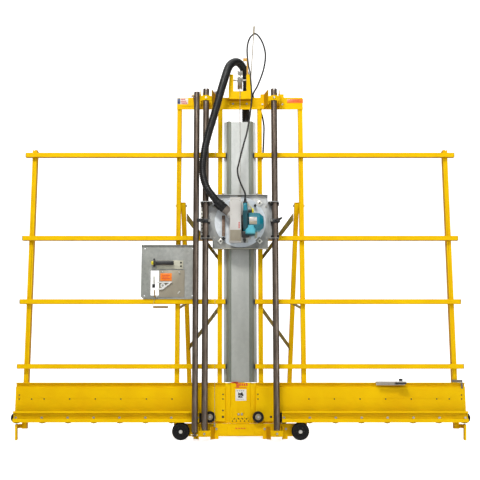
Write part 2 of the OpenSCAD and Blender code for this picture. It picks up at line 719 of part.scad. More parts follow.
module saw_body() {
    color(teal) carriage() difference() {
        union() {
            // Motor case with eight flats and a tapered end
            hull() {
                translate([56, motor_y, motor_z]) rotate([0, 90, 0]) rotate([0, 0, 22.5])
                    cylinder(h = 76, r = motor_r, $fn = 8);
                translate([132, motor_y, motor_z]) rotate([0, 90, 0]) rotate([0, 0, 22.5])
                    cylinder(h = 24, r = motor_r - 19, $fn = 8);
            }
            // Gear case
            hull() {
                rod_x(9, 58, motor_y, motor_z, 44, $fn = 32);
                rod_x(9, 58, arbor_y - 3, arbor_z, 22, $fn = 32);
            }
            // Grip with its two roots
            hull() {
                translate([35, -150, 94]) sphere(r = 15, $fn = 32);
                translate([35, -146, 10]) sphere(r = 17, $fn = 32);
            }
            hull() {
                translate([35, -146, 10]) sphere(r = 17, $fn = 32);
                translate([35, -112, -70]) sphere(r = 15, $fn = 32);
            }
            hull() {
                translate([35, -150, 94]) sphere(r = 15, $fn = 32);
                translate([34, -84, 34]) sphere(r = 14, $fn = 32);
            }
            // Lower front cover
            hull() {
                translate([38, -122, -107]) cube([56, 20, 44]);
                translate([31, -112, -93]) cube([71, 50, 26]);
            }
            // Shoe
            box([-70, -6.2, -143], [54, -3.2, 143]);
        }
        blade_slot(10);
        box([27, -143, 28], [43, -118, 74]);
        rod_x(0, 20, arbor_y, arbor_z, 12);
    }
}
module saw_trigger() {
    color("firebrick") carriage() {
        box([28, -138, 30], [42, -126, 72]);
        rod_x(28, 42, -126, 38, 6);
    }
}
module dust_shroud() {
    x0 = blade_x - 48;
    x1 = 4.5;
    outline = [[-6.4, -147], [-92, -147], [-128, -77], [-128, 136], [-116, 148], [-6.4, 148]];
    inner = [[-6, -145], [-91, -145], [-126, -76.5], [-126, 135], [-115, 146], [-6, 146]];
    color("lightgray") carriage() {
        difference() {
            union() {
                translate([x0, 0, 0]) rotate([90, 0, 90]) linear_extrude(x1 - x0) polygon(outline);
                port();
            }
            translate([x0 + 2, 0, 0]) rotate([90, 0, 90]) linear_extrude(x1 - x0 - 4) polygon(inner);
            port_bore();
            rod_x(x1 - 4, x1 + 2, arbor_y, arbor_z, 13);
        }
    }
}
port_tilt = -50;
port_at = [-70, -66, 50];
module port() { translate(port_at) rotate([0, port_tilt, 0]) translate([0, 0, -24]) cylinder(h = 74, r = 28); }
module port_bore() { translate(port_at) rotate([0, port_tilt, 0]) translate([0, 0, -40]) cylinder(h = 100, r = 25.5); }
module saw_blade() {
    teeth = 24;
    color("gray") carriage() translate([blade_x, arbor_y, arbor_z]) rotate([0, 90, 0]) {
        difference() {
            translate([0, 0, -1]) linear_extrude(2) polygon([for (i = [0 : teeth - 1], k = [0 : 2])
                let(a = 360 * (i + [0, 0.18, 0.75][k]) / teeth, r = blade_dia / 2 - [0, 9, 5][k])
                r * [cos(a), sin(a)]]);
            translate([0, 0, -2]) cylinder(h = 4, r = 7.9);
        }
        translate([0, 0, -9]) cylinder(h = 8, r = 22);
        translate([0, 0, 1]) cylinder(h = 8, r = 22);
        translate([0, 0, -8]) cylinder(h = 40, r = 7.9);
    }
}

// ---- hose and cord ----

hose_r = 25;
hose_end = [57, 88, 2080];
hose_start = port_at + [0, plate_y, carriage_z];
hose_dir = [sin(port_tilt), 0, cos(port_tilt)];
hose_pts = [hose_start + 51.5 * hose_dir, hose_start + 90 * hose_dir, [-186, -172, 1612], [-226, -182, 1668],
    [-250, -184, 1740], [-256, -184, 1830], [-240, -184, 1950], [-212, -180, 2070], [-178, -172, 2190],
    [-145, -160, 2320], [-112, -132, 2450], [-74, -76, 2580], [-20, -10, 2634], [26, 44, 2606],
    [50, 84, 2520], [46, 94, 2400], [44, 94, 2250], [52, 90, 2140], [57, 60, 2068], [57, 20, 2068]];
module hose() {
    color("#222222") lean() cord_along(curve(hose_pts, 4), hose_r - 0.5, 16, unit([0.8, 0.6, 0.05]));
}
cord_pts = [[35, plate_y - 150, carriage_z + 110], [33, -236, 1600], [12, -214, 1662], [-10, -180, 1735],
    [-19, -150, 1800], [-8, -128, 1860], [22, -116, 1985], [44, -110, 2065], [58, -106, 2139],
    [70, -102, 2212], [80, -98, 2301], [82, -94, 2367], [78, -90, 2440], [72, -86, 2519], [61, -76, 2580],
    [52, -58, 2681], [57, -36, 2761], [78, -16, 2822], [114, 0, 2852], [150, 14, 2820], [176, 24, 2760],
    [186, 35, 2690], [170, 50, 2593], [130, 60, 2484], [96, 68, 2418], [112, 78, 2370], [150, 84, 2300],
    [172, 84, 2200], [172, 84, 2110], [166, 84, 1990], [160, 84, 1940]];
module cord() {
    color("#181818") lean() cord_along(curve(cord_pts, 4), 4.2, 12);
}

// ---- spare insert, parked on the rack ----

spare_x0 = -678;
spare_z0 = rail_z[1] + rail_s / 2 + 0.2;
module spare_insert() {
    w = 375;
    h = 373;
    color(steel) lean() translate([spare_x0, sheet_y - 0.1, spare_z0]) {
        difference() {
            union() {
                rotate([90, 0, 0]) linear_extrude(2) polygon([[18, 0], [w, 0], [w, h], [0, h], [0, 18]]);
                box([0, -16, h - 2], [w, 0, h]);
                box([w - 2, -10, 0], [w, 0, h]);
                box([18, -14, 0], [w, 0, 2]);
            }
            for (x = [24, w - 24], z = [24, h - 24]) rod_y(x, -5, 1, z, 4);
            box([66, -5, 26], [122, 1, 196]);
        }
        box([122, -5, 12], [300, -2, 202]);
        box([106, -9, 206], [289, -2, 267]);
        // Grip and its light mounting plate
        rod_x(76, 221, -32, 246, 13);
        box([208, -34, 236], [216, -9, 256]);
        box([96, -34, 236], [104, -2, 256]);
        rod_y(150, -22, -5, 92, 7);
    }
}
// Cutter arm that swings on the spare insert
module spare_knife() {
    color("white") lean() translate([spare_x0 + 150, sheet_y - 0.1, spare_z0 + 92]) difference() {
        union() {
            rod_y(0, -20, -13, 0, 16);
            translate([0, -20, 0]) linear_extrude_y(7, [[-40, 26], [66, 26], [2, -26], [-34, -30], [-34, -20],
                [-4, -16], [44, 18], [-40, 18]]);
        }
        rod_y(0, -30, 0, 0, 7 + fit);
    }
}

// ---- material stop ----

module material_stop() {
    color(steel) lean() translate([stop_x, 0, 0]) {
        box([-96, -84, wing_top + 0.5], [96, -4, wing_top + 7]);
        box([-96, -34, wing_top - 18], [96, -28, wing_top + 1]);
        box([34, -92, wing_top - 11], [96, -36, wing_top + 1]);
        translate([64, -60, wing_top + 7]) cylinder(h = 16, r = 11);
    }
}

// ---- wheels and rollers ----

module roller(x, z, hub) {
    color(black) lean() translate([x, 0, z]) rotate([90, 0, 0]) rotate_extrude()
        polygon([[axle_r + fit, 32], [roller_dia / 2 - 2, 32], [roller_dia / 2, 34], [roller_dia / 2, 64],
            [roller_dia / 2 - 2, 66], [hub ? 20 : 14, 66], [hub ? 18 : 12, 69.5],
            [axle_r + fit, 69.5]]);
}
module wheel(x) {
    color(black) floor_frame() translate([x, wheel_y, wheel_r]) rotate([-90, 0, 0]) rotate_extrude()
        polygon([[8 + fit, 0], [15, 0], [15, 6], [34, 6], [38, 2], [wheel_r - 5, 0], [wheel_r, 5],
            [wheel_r, wheel_w - 5], [wheel_r - 5, wheel_w], [8 + fit, wheel_w]]);
}
module wheel_left() { wheel(-wheel_x); }
module wheel_right() { wheel(wheel_x); }
function wing_roller_x(i) = roller_x0 + i * roller_pitch;
module roller_left_1() { roller(centre_roller_x[0], centre_roller_z, true); }
module roller_left_2() { roller(-wing_roller_x(0), roller_z, false); }
module roller_left_3() { roller(-wing_roller_x(1), roller_z, false); }
module roller_left_4() { roller(-wing_roller_x(2), roller_z, false); }
module roller_left_5() { roller(-wing_roller_x(3), roller_z, false); }
module roller_left_6() { roller(-wing_roller_x(4), roller_z, false); }
module roller_left_7() { roller(-wing_roller_x(5), roller_z, false); }
module roller_left_8() { roller(-wing_roller_x(6), roller_z, false); }
module roller_left_9() { roller(-wing_roller_x(7), roller_z, false); }
module roller_right_1() { roller(centre_roller_x[1], centre_roller_z, true); }
module roller_right_2() { roller(wing_roller_x(0), roller_z, false); }
module roller_right_3() { roller(wing_roller_x(1), roller_z, false); }
module roller_right_4() { roller(wing_roller_x(2), roller_z, false); }
module roller_right_5() { roller(wing_roller_x(3), roller_z, false); }
module roller_right_6() { roller(wing_roller_x(4), roller_z, false); }
module roller_right_7() { roller(wing_roller_x(5), roller_z, false); }
module roller_right_8() { roller(wing_roller_x(6), roller_z, false); }
module roller_right_9() { roller(wing_roller_x(7), roller_z, false); }

posts();
top_beam();
base_beam();
base_cover();
dust_channel();
guide_tubes();
tube_brackets();
wing_panels();
roller_channels();
rack_rails();
rail_caps();
end_feet();
pulley_bracket();
hose_arm();
cord_whip();
rear_legs();
braces();
frame_bolts();
axles();
guide_wire();
counterweight_tube();
counterweight();
lift_cable();
pulley();
hold_down_bar();
carriage_plate();
carriage_bearings();
lock_left();
lock_right();
turntable();
index_pin();
saw_body();
saw_trigger();
dust_shroud();
saw_blade();
hose();
cord();
spare_insert();
spare_knife();
material_stop();
wheel_left();
wheel_right();
roller_left_1();
roller_left_2();
roller_left_3();
roller_left_4();
roller_left_5();
roller_left_6();
roller_left_7();
roller_left_8();
roller_left_9();
roller_right_1();
roller_right_2();
roller_right_3();
roller_right_4();
roller_right_5();
roller_right_6();
roller_right_7();
roller_right_8();
roller_right_9();
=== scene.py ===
import json
import math
import random

import bpy
import bmesh
from mathutils import Matrix, Vector


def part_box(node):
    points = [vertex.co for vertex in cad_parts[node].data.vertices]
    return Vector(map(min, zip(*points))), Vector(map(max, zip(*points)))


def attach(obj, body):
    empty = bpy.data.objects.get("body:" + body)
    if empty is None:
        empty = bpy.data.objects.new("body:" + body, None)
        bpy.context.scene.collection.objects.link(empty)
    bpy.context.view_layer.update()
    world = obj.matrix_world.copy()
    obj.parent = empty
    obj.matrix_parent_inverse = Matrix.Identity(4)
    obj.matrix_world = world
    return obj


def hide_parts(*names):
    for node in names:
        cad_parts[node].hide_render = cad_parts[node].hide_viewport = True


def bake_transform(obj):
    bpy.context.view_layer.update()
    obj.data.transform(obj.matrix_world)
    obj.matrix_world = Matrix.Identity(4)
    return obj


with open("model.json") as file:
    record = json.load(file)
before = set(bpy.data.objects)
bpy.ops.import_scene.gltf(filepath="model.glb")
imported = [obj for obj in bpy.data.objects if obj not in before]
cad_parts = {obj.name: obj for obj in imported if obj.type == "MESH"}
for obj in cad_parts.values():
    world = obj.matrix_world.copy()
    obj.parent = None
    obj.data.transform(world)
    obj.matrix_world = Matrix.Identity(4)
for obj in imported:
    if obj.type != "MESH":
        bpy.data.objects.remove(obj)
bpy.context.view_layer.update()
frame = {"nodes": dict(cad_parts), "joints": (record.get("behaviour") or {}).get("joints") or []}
NODES = frame["nodes"]
JOINTS = {j["name"]: j for j in frame["joints"]}
random.seed(7)

# ---------------------------------------------------------------- frames
# Every piece is drawn in millimetres in one of three frames, then put in the row frame in metres.
# LEAN: x along the rack, y square to it (minus towards the operator), z up the slope.
# CAR: the same axes with their origin at the middle of the carriage plate's front.
# FLOOR: the row frame itself in millimetres.
MM = 0.001
slope = Vector(JOINTS["carriage_slide"]["axis"]).normalized()
outward = Vector((0, slope.z, -slope.y))
carriage_at = Vector(JOINTS["insert_turn"]["pos_m"])
PLATE_Y = -83
CARRIAGE_Z = 1450
BASIS = Matrix(((1, 0, 0), (0, outward.y, slope.y), (0, outward.z, slope.z))).to_4x4()
CAR = Matrix.Translation(carriage_at) @ BASIS @ Matrix.Scale(MM, 4)
LEAN = CAR @ Matrix.Translation((0, -PLATE_Y, -CARRIAGE_Z))
FLOOR = Matrix.Scale(MM, 4)


def cad_local(node, to=LEAN):
    """Lowest and highest corner of a CAD node in one of the frames above."""
    inverse = to.inverted()
    points = [inverse @ v.co for v in NODES[node].data.vertices]
    return (Vector([min(p[i] for p in points) for i in range(3)]),
            Vector([max(p[i] for p in points) for i in range(3)]))


# ---------------------------------------------------------------- materials
def srgb(r, g, b):
    return tuple(((c / 255 + 0.055) / 1.055) ** 2.4 if c > 10 else c / 3294.6 for c in (r, g, b)) + (1,)


def surface(name, base, other, scale=14, stretch=(1, 1, 1), metal=0.0, rough=(0.35, 0.5),
            bump=0.12, grain=500, spangle=0.0, spangle_scale=55, rim_shade=None, wear=None,
            wear_share=0.5, wear_width=0.0015, coat=0.0, dirt=0.0, grain_stretch=(1, 1, 1),
            shine=0.5, shade_gradient=None, turned=None, below=None):
    """A procedural finish: two colours mixed by stretched noise, crystals, worn edges, a grime layer, uneven
    roughness and a fine grain bump. rim_shade paints a dark reflection on rims seen at grazing angles,
    shade_gradient paints shade along an axis, turned paints shade on faces facing sideways and below on those
    facing down."""
    m = bpy.data.materials.new(name)
    m.use_nodes = True
    nt = m.node_tree
    n, link = nt.nodes, nt.links.new
    shader = n["Principled BSDF"]
    place = n.new("ShaderNodeTexCoord").outputs["Object"]

    def mapped(s):
        node = n.new("ShaderNodeMapping")
        node.inputs["Scale"].default_value = s
        link(place, node.inputs["Vector"])
        return node.outputs["Vector"]

    def noise(size, s=(1, 1, 1), detail=4.0):
        node = n.new("ShaderNodeTexNoise")
        node.inputs["Scale"].default_value = size
        node.inputs["Detail"].default_value = detail
        link(mapped(s), node.inputs["Vector"])
        return node.outputs["Fac"]

    def ramp(value, lo, hi, a=(0, 0, 0, 1), b=(1, 1, 1, 1)):
        node = n.new("ShaderNodeValToRGB")
        node.color_ramp.elements[0].position, node.color_ramp.elements[1].position = lo, hi
        node.color_ramp.elements[0].color, node.color_ramp.elements[1].color = a, b
        link(value, node.inputs["Fac"])
        return node.outputs["Color"]

    def mix(kind, fac, a, b):
        node = n.new("ShaderNodeMix")
        node.data_type, node.blend_type = "RGBA", kind
        for socket, value in ((node.inputs[0], fac), (node.inputs[6], a), (node.inputs[7], b)):
            if isinstance(value, (int, float, tuple)):
                socket.default_value = value
            else:
                link(value, socket)
        return node.outputs[2]

    color = mix("MIX", ramp(noise(scale, stretch), 0.35, 0.65), base, other)
    if spangle:
        cell = n.new("ShaderNodeTexVoronoi")
        cell.inputs["Scale"].default_value = spangle_scale
        link(mapped((1, 1, 1)), cell.inputs["Vector"])
        grey = n.new("ShaderNodeRGBToBW")
        link(cell.outputs["Color"], grey.inputs["Color"])
        facets = ramp(grey.outputs["Val"], 0.1, 0.9, (0.55, 0.57, 0.6, 1))
        color = mix("MULTIPLY", spangle, color, facets)
    # Painted reflection: surfaces seen at grazing angles take a dark colour, as if mirroring dark
    # surroundings.
    if rim_shade:
        facing = n.new("ShaderNodeLayerWeight")
        facing.inputs["Blend"].default_value = 0.35
        color = mix("MIX", ramp(facing.outputs["Facing"], rim_shade[1], rim_shade[2]), color, rim_shade[0])
    if dirt:
        grime = ramp(noise(5, (1, 1, 0.4), 6.0), 0.45, 0.75, (0, 0, 0, 1), (dirt,) * 3 + (1,))
        color = mix("MULTIPLY", grime, color, (0.45, 0.4, 0.33, 1))
    if wear:
        soft = n.new("ShaderNodeBevel")
        soft.samples = 4
        soft.inputs["Radius"].default_value = wear_width
        flat = n.new("ShaderNodeNewGeometry")
        dot = n.new("ShaderNodeVectorMath")
        dot.operation = "DOT_PRODUCT"
        link(soft.outputs["Normal"], dot.inputs[0])
        link(flat.outputs["Normal"], dot.inputs[1])
        rim = ramp(dot.outputs["Value"], 0.80, 0.97, (1, 1, 1, 1), (0, 0, 0, 1))
        chips = ramp(noise(60, (1, 1, 1), 8.0), 0.5, 0.58)
        color = mix("MIX", mix("MULTIPLY", 1.0, rim, mix("MULTIPLY", 1.0, chips, (wear_share,) * 3 + (1,))),
                    color, wear)
    # Painted shade: the colour darkens along one object axis, towards one end.
    if shade_gradient:
        apart = n.new("ShaderNodeSeparateXYZ")
        link(place, apart.inputs[0])
        along = n.new("ShaderNodeMapRange")
        along.inputs["From Min"].default_value, along.inputs["From Max"].default_value = shade_gradient[1:3]
        link(apart.outputs[shade_gradient[0]], along.inputs["Value"])
        color = mix("MULTIPLY", along.outputs["Result"], color, shade_gradient[3])
    # Painted shade: faces facing sideways and faces facing down are darkened.
    for axis, sign, amount in (("X", None, turned), ("Z", -1, below)):
        if amount:
            facing_way = n.new("ShaderNodeNewGeometry")
            parts = n.new("ShaderNodeSeparateXYZ")
            link(facing_way.outputs["Normal"], parts.inputs[0])
            value = n.new("ShaderNodeMath")
            value.operation = "MULTIPLY" if sign else "ABSOLUTE"
            if sign:
                value.inputs[1].default_value = sign
            link(parts.outputs[axis], value.inputs[0])
            color = mix("MULTIPLY", ramp(value.outputs["Value"], amount[1], amount[2]), color, amount[0])
    link(color, shader.inputs["Base Color"])
    shader.inputs["Specular IOR Level"].default_value = shine
    shader.inputs["Metallic"].default_value = metal
    spread = n.new("ShaderNodeMapRange")
    spread.inputs["To Min"].default_value, spread.inputs["To Max"].default_value = rough
    link(noise(scale * 2.3, stretch), spread.inputs["Value"])
    link(spread.outputs["Result"], shader.inputs["Roughness"])
    shader.inputs["Coat Weight"].default_value = coat
    if bump:
        raised = n.new("ShaderNodeBump")
        raised.inputs["Strength"].default_value = bump
        raised.inputs["Distance"].default_value = 0.0006
        link(noise(grain, grain_stretch, 3.0), raised.inputs["Height"])
        link(raised.outputs["Normal"], shader.inputs["Normal"])
    return m


# Painted shade: the paint darkens on faces facing sideways and on faces facing down.
YELLOW = surface("yellow_paint", srgb(245, 199, 0), srgb(239, 189, 0), scale=6, rough=(0.5, 0.64), bump=0.18,
                 grain=260, wear=srgb(170, 136, 60), wear_share=0.3, dirt=0.1, shine=0.07,
                 turned=(srgb(214, 196, 150), 0.5, 0.95), below=(srgb(190, 170, 140), 0.5, 0.95))
GALV = surface("galvanised", srgb(190, 192, 187), srgb(158, 160, 154), scale=7, stretch=(1, 1, 0.35),
               metal=0.35, rough=(0.36, 0.55), bump=0.1, grain=180, spangle=0.4, spangle_scale=60,
               dirt=0.25, shine=0.3)
# Painted shade: the plate darkens towards its bottom and on faces facing down.
PLATE = surface("galvanised_plate", srgb(232, 235, 235), srgb(190, 194, 195), scale=6, stretch=(1.4, 1, 0.5),
                metal=0.1, rough=(0.38, 0.55), bump=0.1, grain=180, spangle=0.5, spangle_scale=45, dirt=0.35,
                shine=0.3, shade_gradient=("Z", 1.6, 1.3, srgb(186, 184, 178)), below=(srgb(150, 140, 126), 0.5, 0.95))
# The disc's near-white colour is partly its own polished tone and partly a painted sheen.
DISC_AND_SHEEN = surface("galvanised_disc_and_sheen", srgb(244, 250, 254), srgb(208, 217, 224), scale=5, stretch=(0.7, 1, 1.6),
               metal=0.1, rough=(0.3, 0.45), bump=0.08, grain=180, spangle=0.3, spangle_scale=50, dirt=0.15,
               shine=0.35)
# Painted shade: a darkened copy of the yellow paint for the braces, which sit in shadow at the back.
OLIVE_SHADE = surface("olive_brace_shade", srgb(150, 128, 44), srgb(104, 92, 44), scale=16, stretch=(1, 1, 0.4),
                metal=0.2, rough=(0.45, 0.6), bump=0.12, grain=300, dirt=0.2, shine=0.2)
INNER = surface("brushed_inner", srgb(176, 168, 150), srgb(152, 145, 128), scale=9, stretch=(1, 1, 0.4),
                metal=0.3, rough=(0.4, 0.55), bump=0.1, grain=300, dirt=0.2, shine=0.3)
BEIGE = surface("beige_bracket", srgb(206, 204, 184), srgb(186, 184, 164), scale=14, metal=0.2,
                rough=(0.4, 0.55), bump=0.1, grain=500, dirt=0.2)
TAUPE = surface("taupe_port", srgb(120, 112, 104), srgb(96, 88, 80), scale=14, rough=(0.45, 0.6), bump=0.12,
                grain=500, dirt=0.2)
# Painted shade: the channel darkens towards its bottom and on faces facing sideways.
DUCT = surface("duct_sheet", srgb(214, 217, 214), srgb(196, 199, 196), scale=3, stretch=(3, 3, 0.15),
               metal=0.2, rough=(0.42, 0.58), bump=0.06, grain=90, spangle=0.14, spangle_scale=45,
               dirt=0.12, shine=0.3, shade_gradient=("Z", 1.9, 0.6, srgb(208, 208, 204)),
               turned=(srgb(206, 211, 202), 0.2, 0.55))
# Painted reflection: the pipes darken at their rims, where they are seen at grazing angles.
PIPE = surface("pipe_steel", srgb(134, 120, 108), srgb(100, 88, 78), scale=9, stretch=(6, 6, 0.25),
               metal=0.75, rough=(0.26, 0.4), bump=0.1, grain=300, rim_shade=(srgb(44, 33, 26), 0.22, 0.7),
               dirt=0.2, grain_stretch=(1, 1, 0.1))
ZINC = surface("zinc_plated", srgb(206, 206, 202), srgb(176, 174, 164), scale=60, metal=0.9,
               rough=(0.25, 0.42), bump=0.08, grain=900, dirt=0.2)
ZINC_BRIGHT = surface("zinc_bright", srgb(232, 232, 226), srgb(210, 210, 200), scale=60, metal=0.5,
                      rough=(0.3, 0.45), bump=0.08, grain=900, dirt=0.1)
DARK = surface("dark_steel", srgb(66, 64, 62), srgb(48, 46, 46), scale=40, metal=0.7, rough=(0.4, 0.6),
               bump=0.2, grain=700)
RUBBER = surface("black_rubber", srgb(14, 14, 15), srgb(22, 22, 22), scale=24, rough=(0.5, 0.72), bump=0.3,
                 grain=900, dirt=0.3, shine=0.25)
PLASTIC = surface("black_plastic", srgb(24, 25, 26), srgb(34, 35, 36), scale=30, rough=(0.32, 0.48),
                  bump=0.25, grain=1400)
TEAL = surface("teal_plastic", srgb(0, 128, 148), srgb(0, 114, 134), scale=18, rough=(0.28, 0.4), bump=0.18,
               grain=1500, wear=srgb(120, 170, 178), wear_share=0.4, wear_width=0.001, coat=0.15, dirt=0.2)
TEAL_LIGHT = surface("teal_cover", srgb(96, 190, 206), srgb(80, 176, 194), scale=22, rough=(0.3, 0.42),
                     bump=0.15, grain=1500, coat=0.2, dirt=0.15)
# Painted shade: a darkened copy of the teal plastic, for parts of the saw that sit in shade.
TEAL_SHADE = surface("teal_shaded", srgb(6, 74, 84), srgb(8, 62, 70), scale=22, rough=(0.34, 0.5), bump=0.18,
                    grain=1500, dirt=0.2)
GREY = surface("grey_paint", srgb(206, 204, 200), srgb(194, 191, 186), scale=8, rough=(0.4, 0.55), bump=0.16,
               grain=420, wear=srgb(120, 116, 110), wear_share=0.4, dirt=0.25)
BLADE = surface("blade_steel", srgb(190, 192, 194), srgb(160, 163, 166), scale=30, stretch=(1, 8, 8),
                metal=0.95, rough=(0.2, 0.32), bump=0.06, grain=900)
GOLD = surface("gold_paint", srgb(214, 158, 22), srgb(194, 140, 16), scale=20, rough=(0.35, 0.5), bump=0.15,
               grain=500, dirt=0.3)
TAN = surface("tan_plastic", srgb(158, 146, 120), srgb(130, 119, 97), scale=30, rough=(0.4, 0.55), bump=0.1,
              grain=800)
WHITE = surface("white_paint", srgb(238, 238, 234), srgb(224, 224, 220), scale=20, rough=(0.35, 0.5),
                bump=0.1, grain=700, dirt=0.15)
HOSE = surface("hose_rubber", srgb(13, 14, 15), srgb(20, 21, 22), scale=18, rough=(0.26, 0.42), bump=0.15,
               grain=900, dirt=0.25, shine=0.4)
LABEL_SILVER = surface("label_foil", srgb(226, 222, 218), srgb(196, 186, 180), scale=40, stretch=(1, 1, 3),
                       metal=0.35, rough=(0.25, 0.4), bump=0.03, grain=400)
ORANGE = surface("orange_label", srgb(255, 142, 24), srgb(250, 124, 14), scale=40, rough=(0.3, 0.45),
                 bump=0.04, grain=600, dirt=0.1)
RED = surface("red_label", srgb(214, 64, 60), srgb(198, 50, 48), scale=50, rough=(0.35, 0.5), bump=0.04,
              grain=600)
RED_PRINT = surface("red_print", srgb(226, 92, 24), srgb(212, 78, 18), scale=50, rough=(0.4, 0.55), bump=0.04,
                    grain=600)
BLUE = surface("blue_label", srgb(60, 74, 120), srgb(50, 62, 104), scale=50, rough=(0.35, 0.5), bump=0.04,
               grain=600)
YELLOW_TAG = surface("yellow_plastic", srgb(246, 232, 20), srgb(232, 216, 10), scale=50, rough=(0.3, 0.42),
                     bump=0.1, grain=900)
RUST = surface("rusty_strap", srgb(150, 128, 112), srgb(112, 88, 72), scale=70, stretch=(1, 1, 0.6),
               metal=0.4, rough=(0.45, 0.7), bump=0.4, grain=700, dirt=0.5)
BROWN_BAR = surface("wooden_bar", srgb(150, 112, 10), srgb(112, 82, 4), scale=20, stretch=(0.3, 4, 4),
                    rough=(0.5, 0.65), bump=0.2, grain=400)


# ---------------------------------------------------------------- mesh helpers
def smooth(mesh, angle=32):
    mesh.shade_smooth()
    mesh.set_sharp_from_angle(angle=math.radians(angle))


def piece(name, body, bm, material, to=CAR, angle=32):
    """Turns a bmesh drawn in millimetres into a named piece that rides on a CAD body."""
    bmesh.ops.transform(bm, matrix=to, verts=bm.verts)
    bmesh.ops.recalc_face_normals(bm, faces=bm.faces)
    mesh = bpy.data.meshes.new(name)
    bm.to_mesh(mesh)
    bm.free()
    mesh.materials.append(material)
    smooth(mesh, angle)
    obj = bpy.data.objects.new(name, mesh)
    bpy.context.scene.collection.objects.link(obj)
    if body:
        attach(obj, body)
    return obj


def sharp_edges(bm, degrees=30):
    return [e for e in bm.edges if len(e.link_faces) == 2 and e.calc_face_angle(0) > math.radians(degrees)]


def rounded(bm, width, segments=2, degrees=30):
    if width:
        bmesh.ops.bevel(bm, geom=sharp_edges(bm, degrees), offset=width, segments=segments, profile=0.5,
                        affect="EDGES", clamp_overlap=True)
    return bm


def add_rings(bm, rings, caps=True):
    """Skins a list of rings of points, in order."""
    made = [[bm.verts.new(p) for p in ring] for ring in rings]
    count = len(made[0])
    for a, b in zip(made, made[1:]):
        for i in range(count):
            bm.faces.new((a[i], a[(i + 1) % count], b[(i + 1) % count], b[i]))
    if caps:
        bm.faces.new(made[0][::-1])
        bm.faces.new(made[-1])
    return bm


def loft(rings, bevel=0, segments=2, caps=True):
    bm = add_rings(bmesh.new(), rings, caps)
    bmesh.ops.recalc_face_normals(bm, faces=bm.faces)
    return rounded(bm, bevel, segments)


def block(lo, hi, bevel=1.0, segments=2):
    """A box with rounded edges, from corner lo to corner hi."""
    ring = [(0, 0), (1, 0), (1, 1), (0, 1)]
    pick = lambda u, v, w: (hi[0] if u else lo[0], hi[1] if v else lo[1], w)
    return loft([[pick(u, v, z) for u, v in ring] for z in (lo[2], hi[2])], bevel, segments)


def plate_xz(outline, y0, y1, bevel=0.8, segments=2):
    """A plate with its outline in (x, z), between two depths."""
    return loft([[(x, y, z) for x, z in outline] for y in (y0, y1)], bevel, segments)


def axes_of(d):
    d = Vector(d).normalized()
    u = d.orthogonal().normalized()
    return d, u, d.cross(u)


def lathe(start, direction, profile, sides=32, caps=True):
    """A turned form: profile is a list of (distance along, radius)."""
    d, u, v = axes_of(direction)
    start = Vector(start)
    rings = [[start + d * t + (u * math.cos(a) + v * math.sin(a)) * r
              for a in (2 * math.pi * k / sides for k in range(sides))] for t, r in profile]
    return loft(rings, 0, caps=caps)


def pin(a, b, r, bevel=0.6, sides=24):
    a, b = Vector(a), Vector(b)
    length = (b - a).length
    c = min(bevel, r * 0.4, length * 0.4)
    return lathe(a, b - a, [(0, r - c), (c, r), (length - c, r), (length, r - c)], sides)


def hex_head(a, b, r, washer=0):
    """A hexagon bolt head from a to b, with a washer under it at a."""
    a, b = Vector(a), Vector(b)
    d = (b - a).normalized()
    length = (b - a).length
    bm = lathe(a, d, [(0, r), (length * 0.8, r), (length, r * 0.86)], 6)
    if washer:
        join(bm, lathe(a, d, [(0, washer - 0.3), (0.3, washer), (1.2, washer), (1.5, washer - 0.3)], 24))
    return bm


def join(bm, other):
    """Adds another bmesh's geometry to bm."""
    mesh = bpy.data.meshes.new("tmp")
    other.to_mesh(mesh)
    other.free()
    bm.from_mesh(mesh)
    bpy.data.meshes.remove(mesh)
    return bm


def merged(parts):
    bm = parts[0]
    for other in parts[1:]:
        join(bm, other)
    return bm


def spline(points, per):
    """A smooth curve through the points."""
    p = [Vector(q) for q in points]
    out = []
    for i in range(len(p) - 1):
        a, b, c, d = p[max(i - 1, 0)], p[i], p[i + 1], p[min(i + 2, len(p) - 1)]
        for k in range(per):
            t = k / per
            out.append(0.5 * (2 * b + (c - a) * t + (2 * a - 5 * b + 4 * c - d) * t * t
                              + (3 * b - a - 3 * c + d) * t ** 3))
    return out + [p[-1]]


def resample(points, step):
    """Points an equal distance apart along a polyline."""
    total = [0.0]
    for a, b in zip(points, points[1:]):
        total.append(total[-1] + (b - a).length)
    count = max(2, round(total[-1] / step))
    out, i = [], 0
    for k in range(count + 1):
        want = total[-1] * k / count
        while i < len(points) - 2 and total[i + 1] < want:
            i += 1
        share = (want - total[i]) / max(total[i + 1] - total[i], 1e-9)
        out.append(points[i].lerp(points[i + 1], min(max(share, 0), 1)))
    return out


def sweep(points, radius, sides=16):
    """A round skin along a polyline; radius(i, n) gives each ring's radius."""
    last = len(points) - 1
    d = [(points[min(i + 1, last)] - points[max(i - 1, 0)]).normalized() for i in range(len(points))]
    u = d[0].orthogonal().normalized()
    rings = []
    for i, p in enumerate(points):
        u = (u - d[i] * u.dot(d[i])).normalized()
        v = d[i].cross(u)
        r = radius(i, len(points))
        rings.append([p + (u * math.cos(a) + v * math.sin(a)) * r
                      for a in (2 * math.pi * k / sides for k in range(sides))])
    return loft(rings, 0)


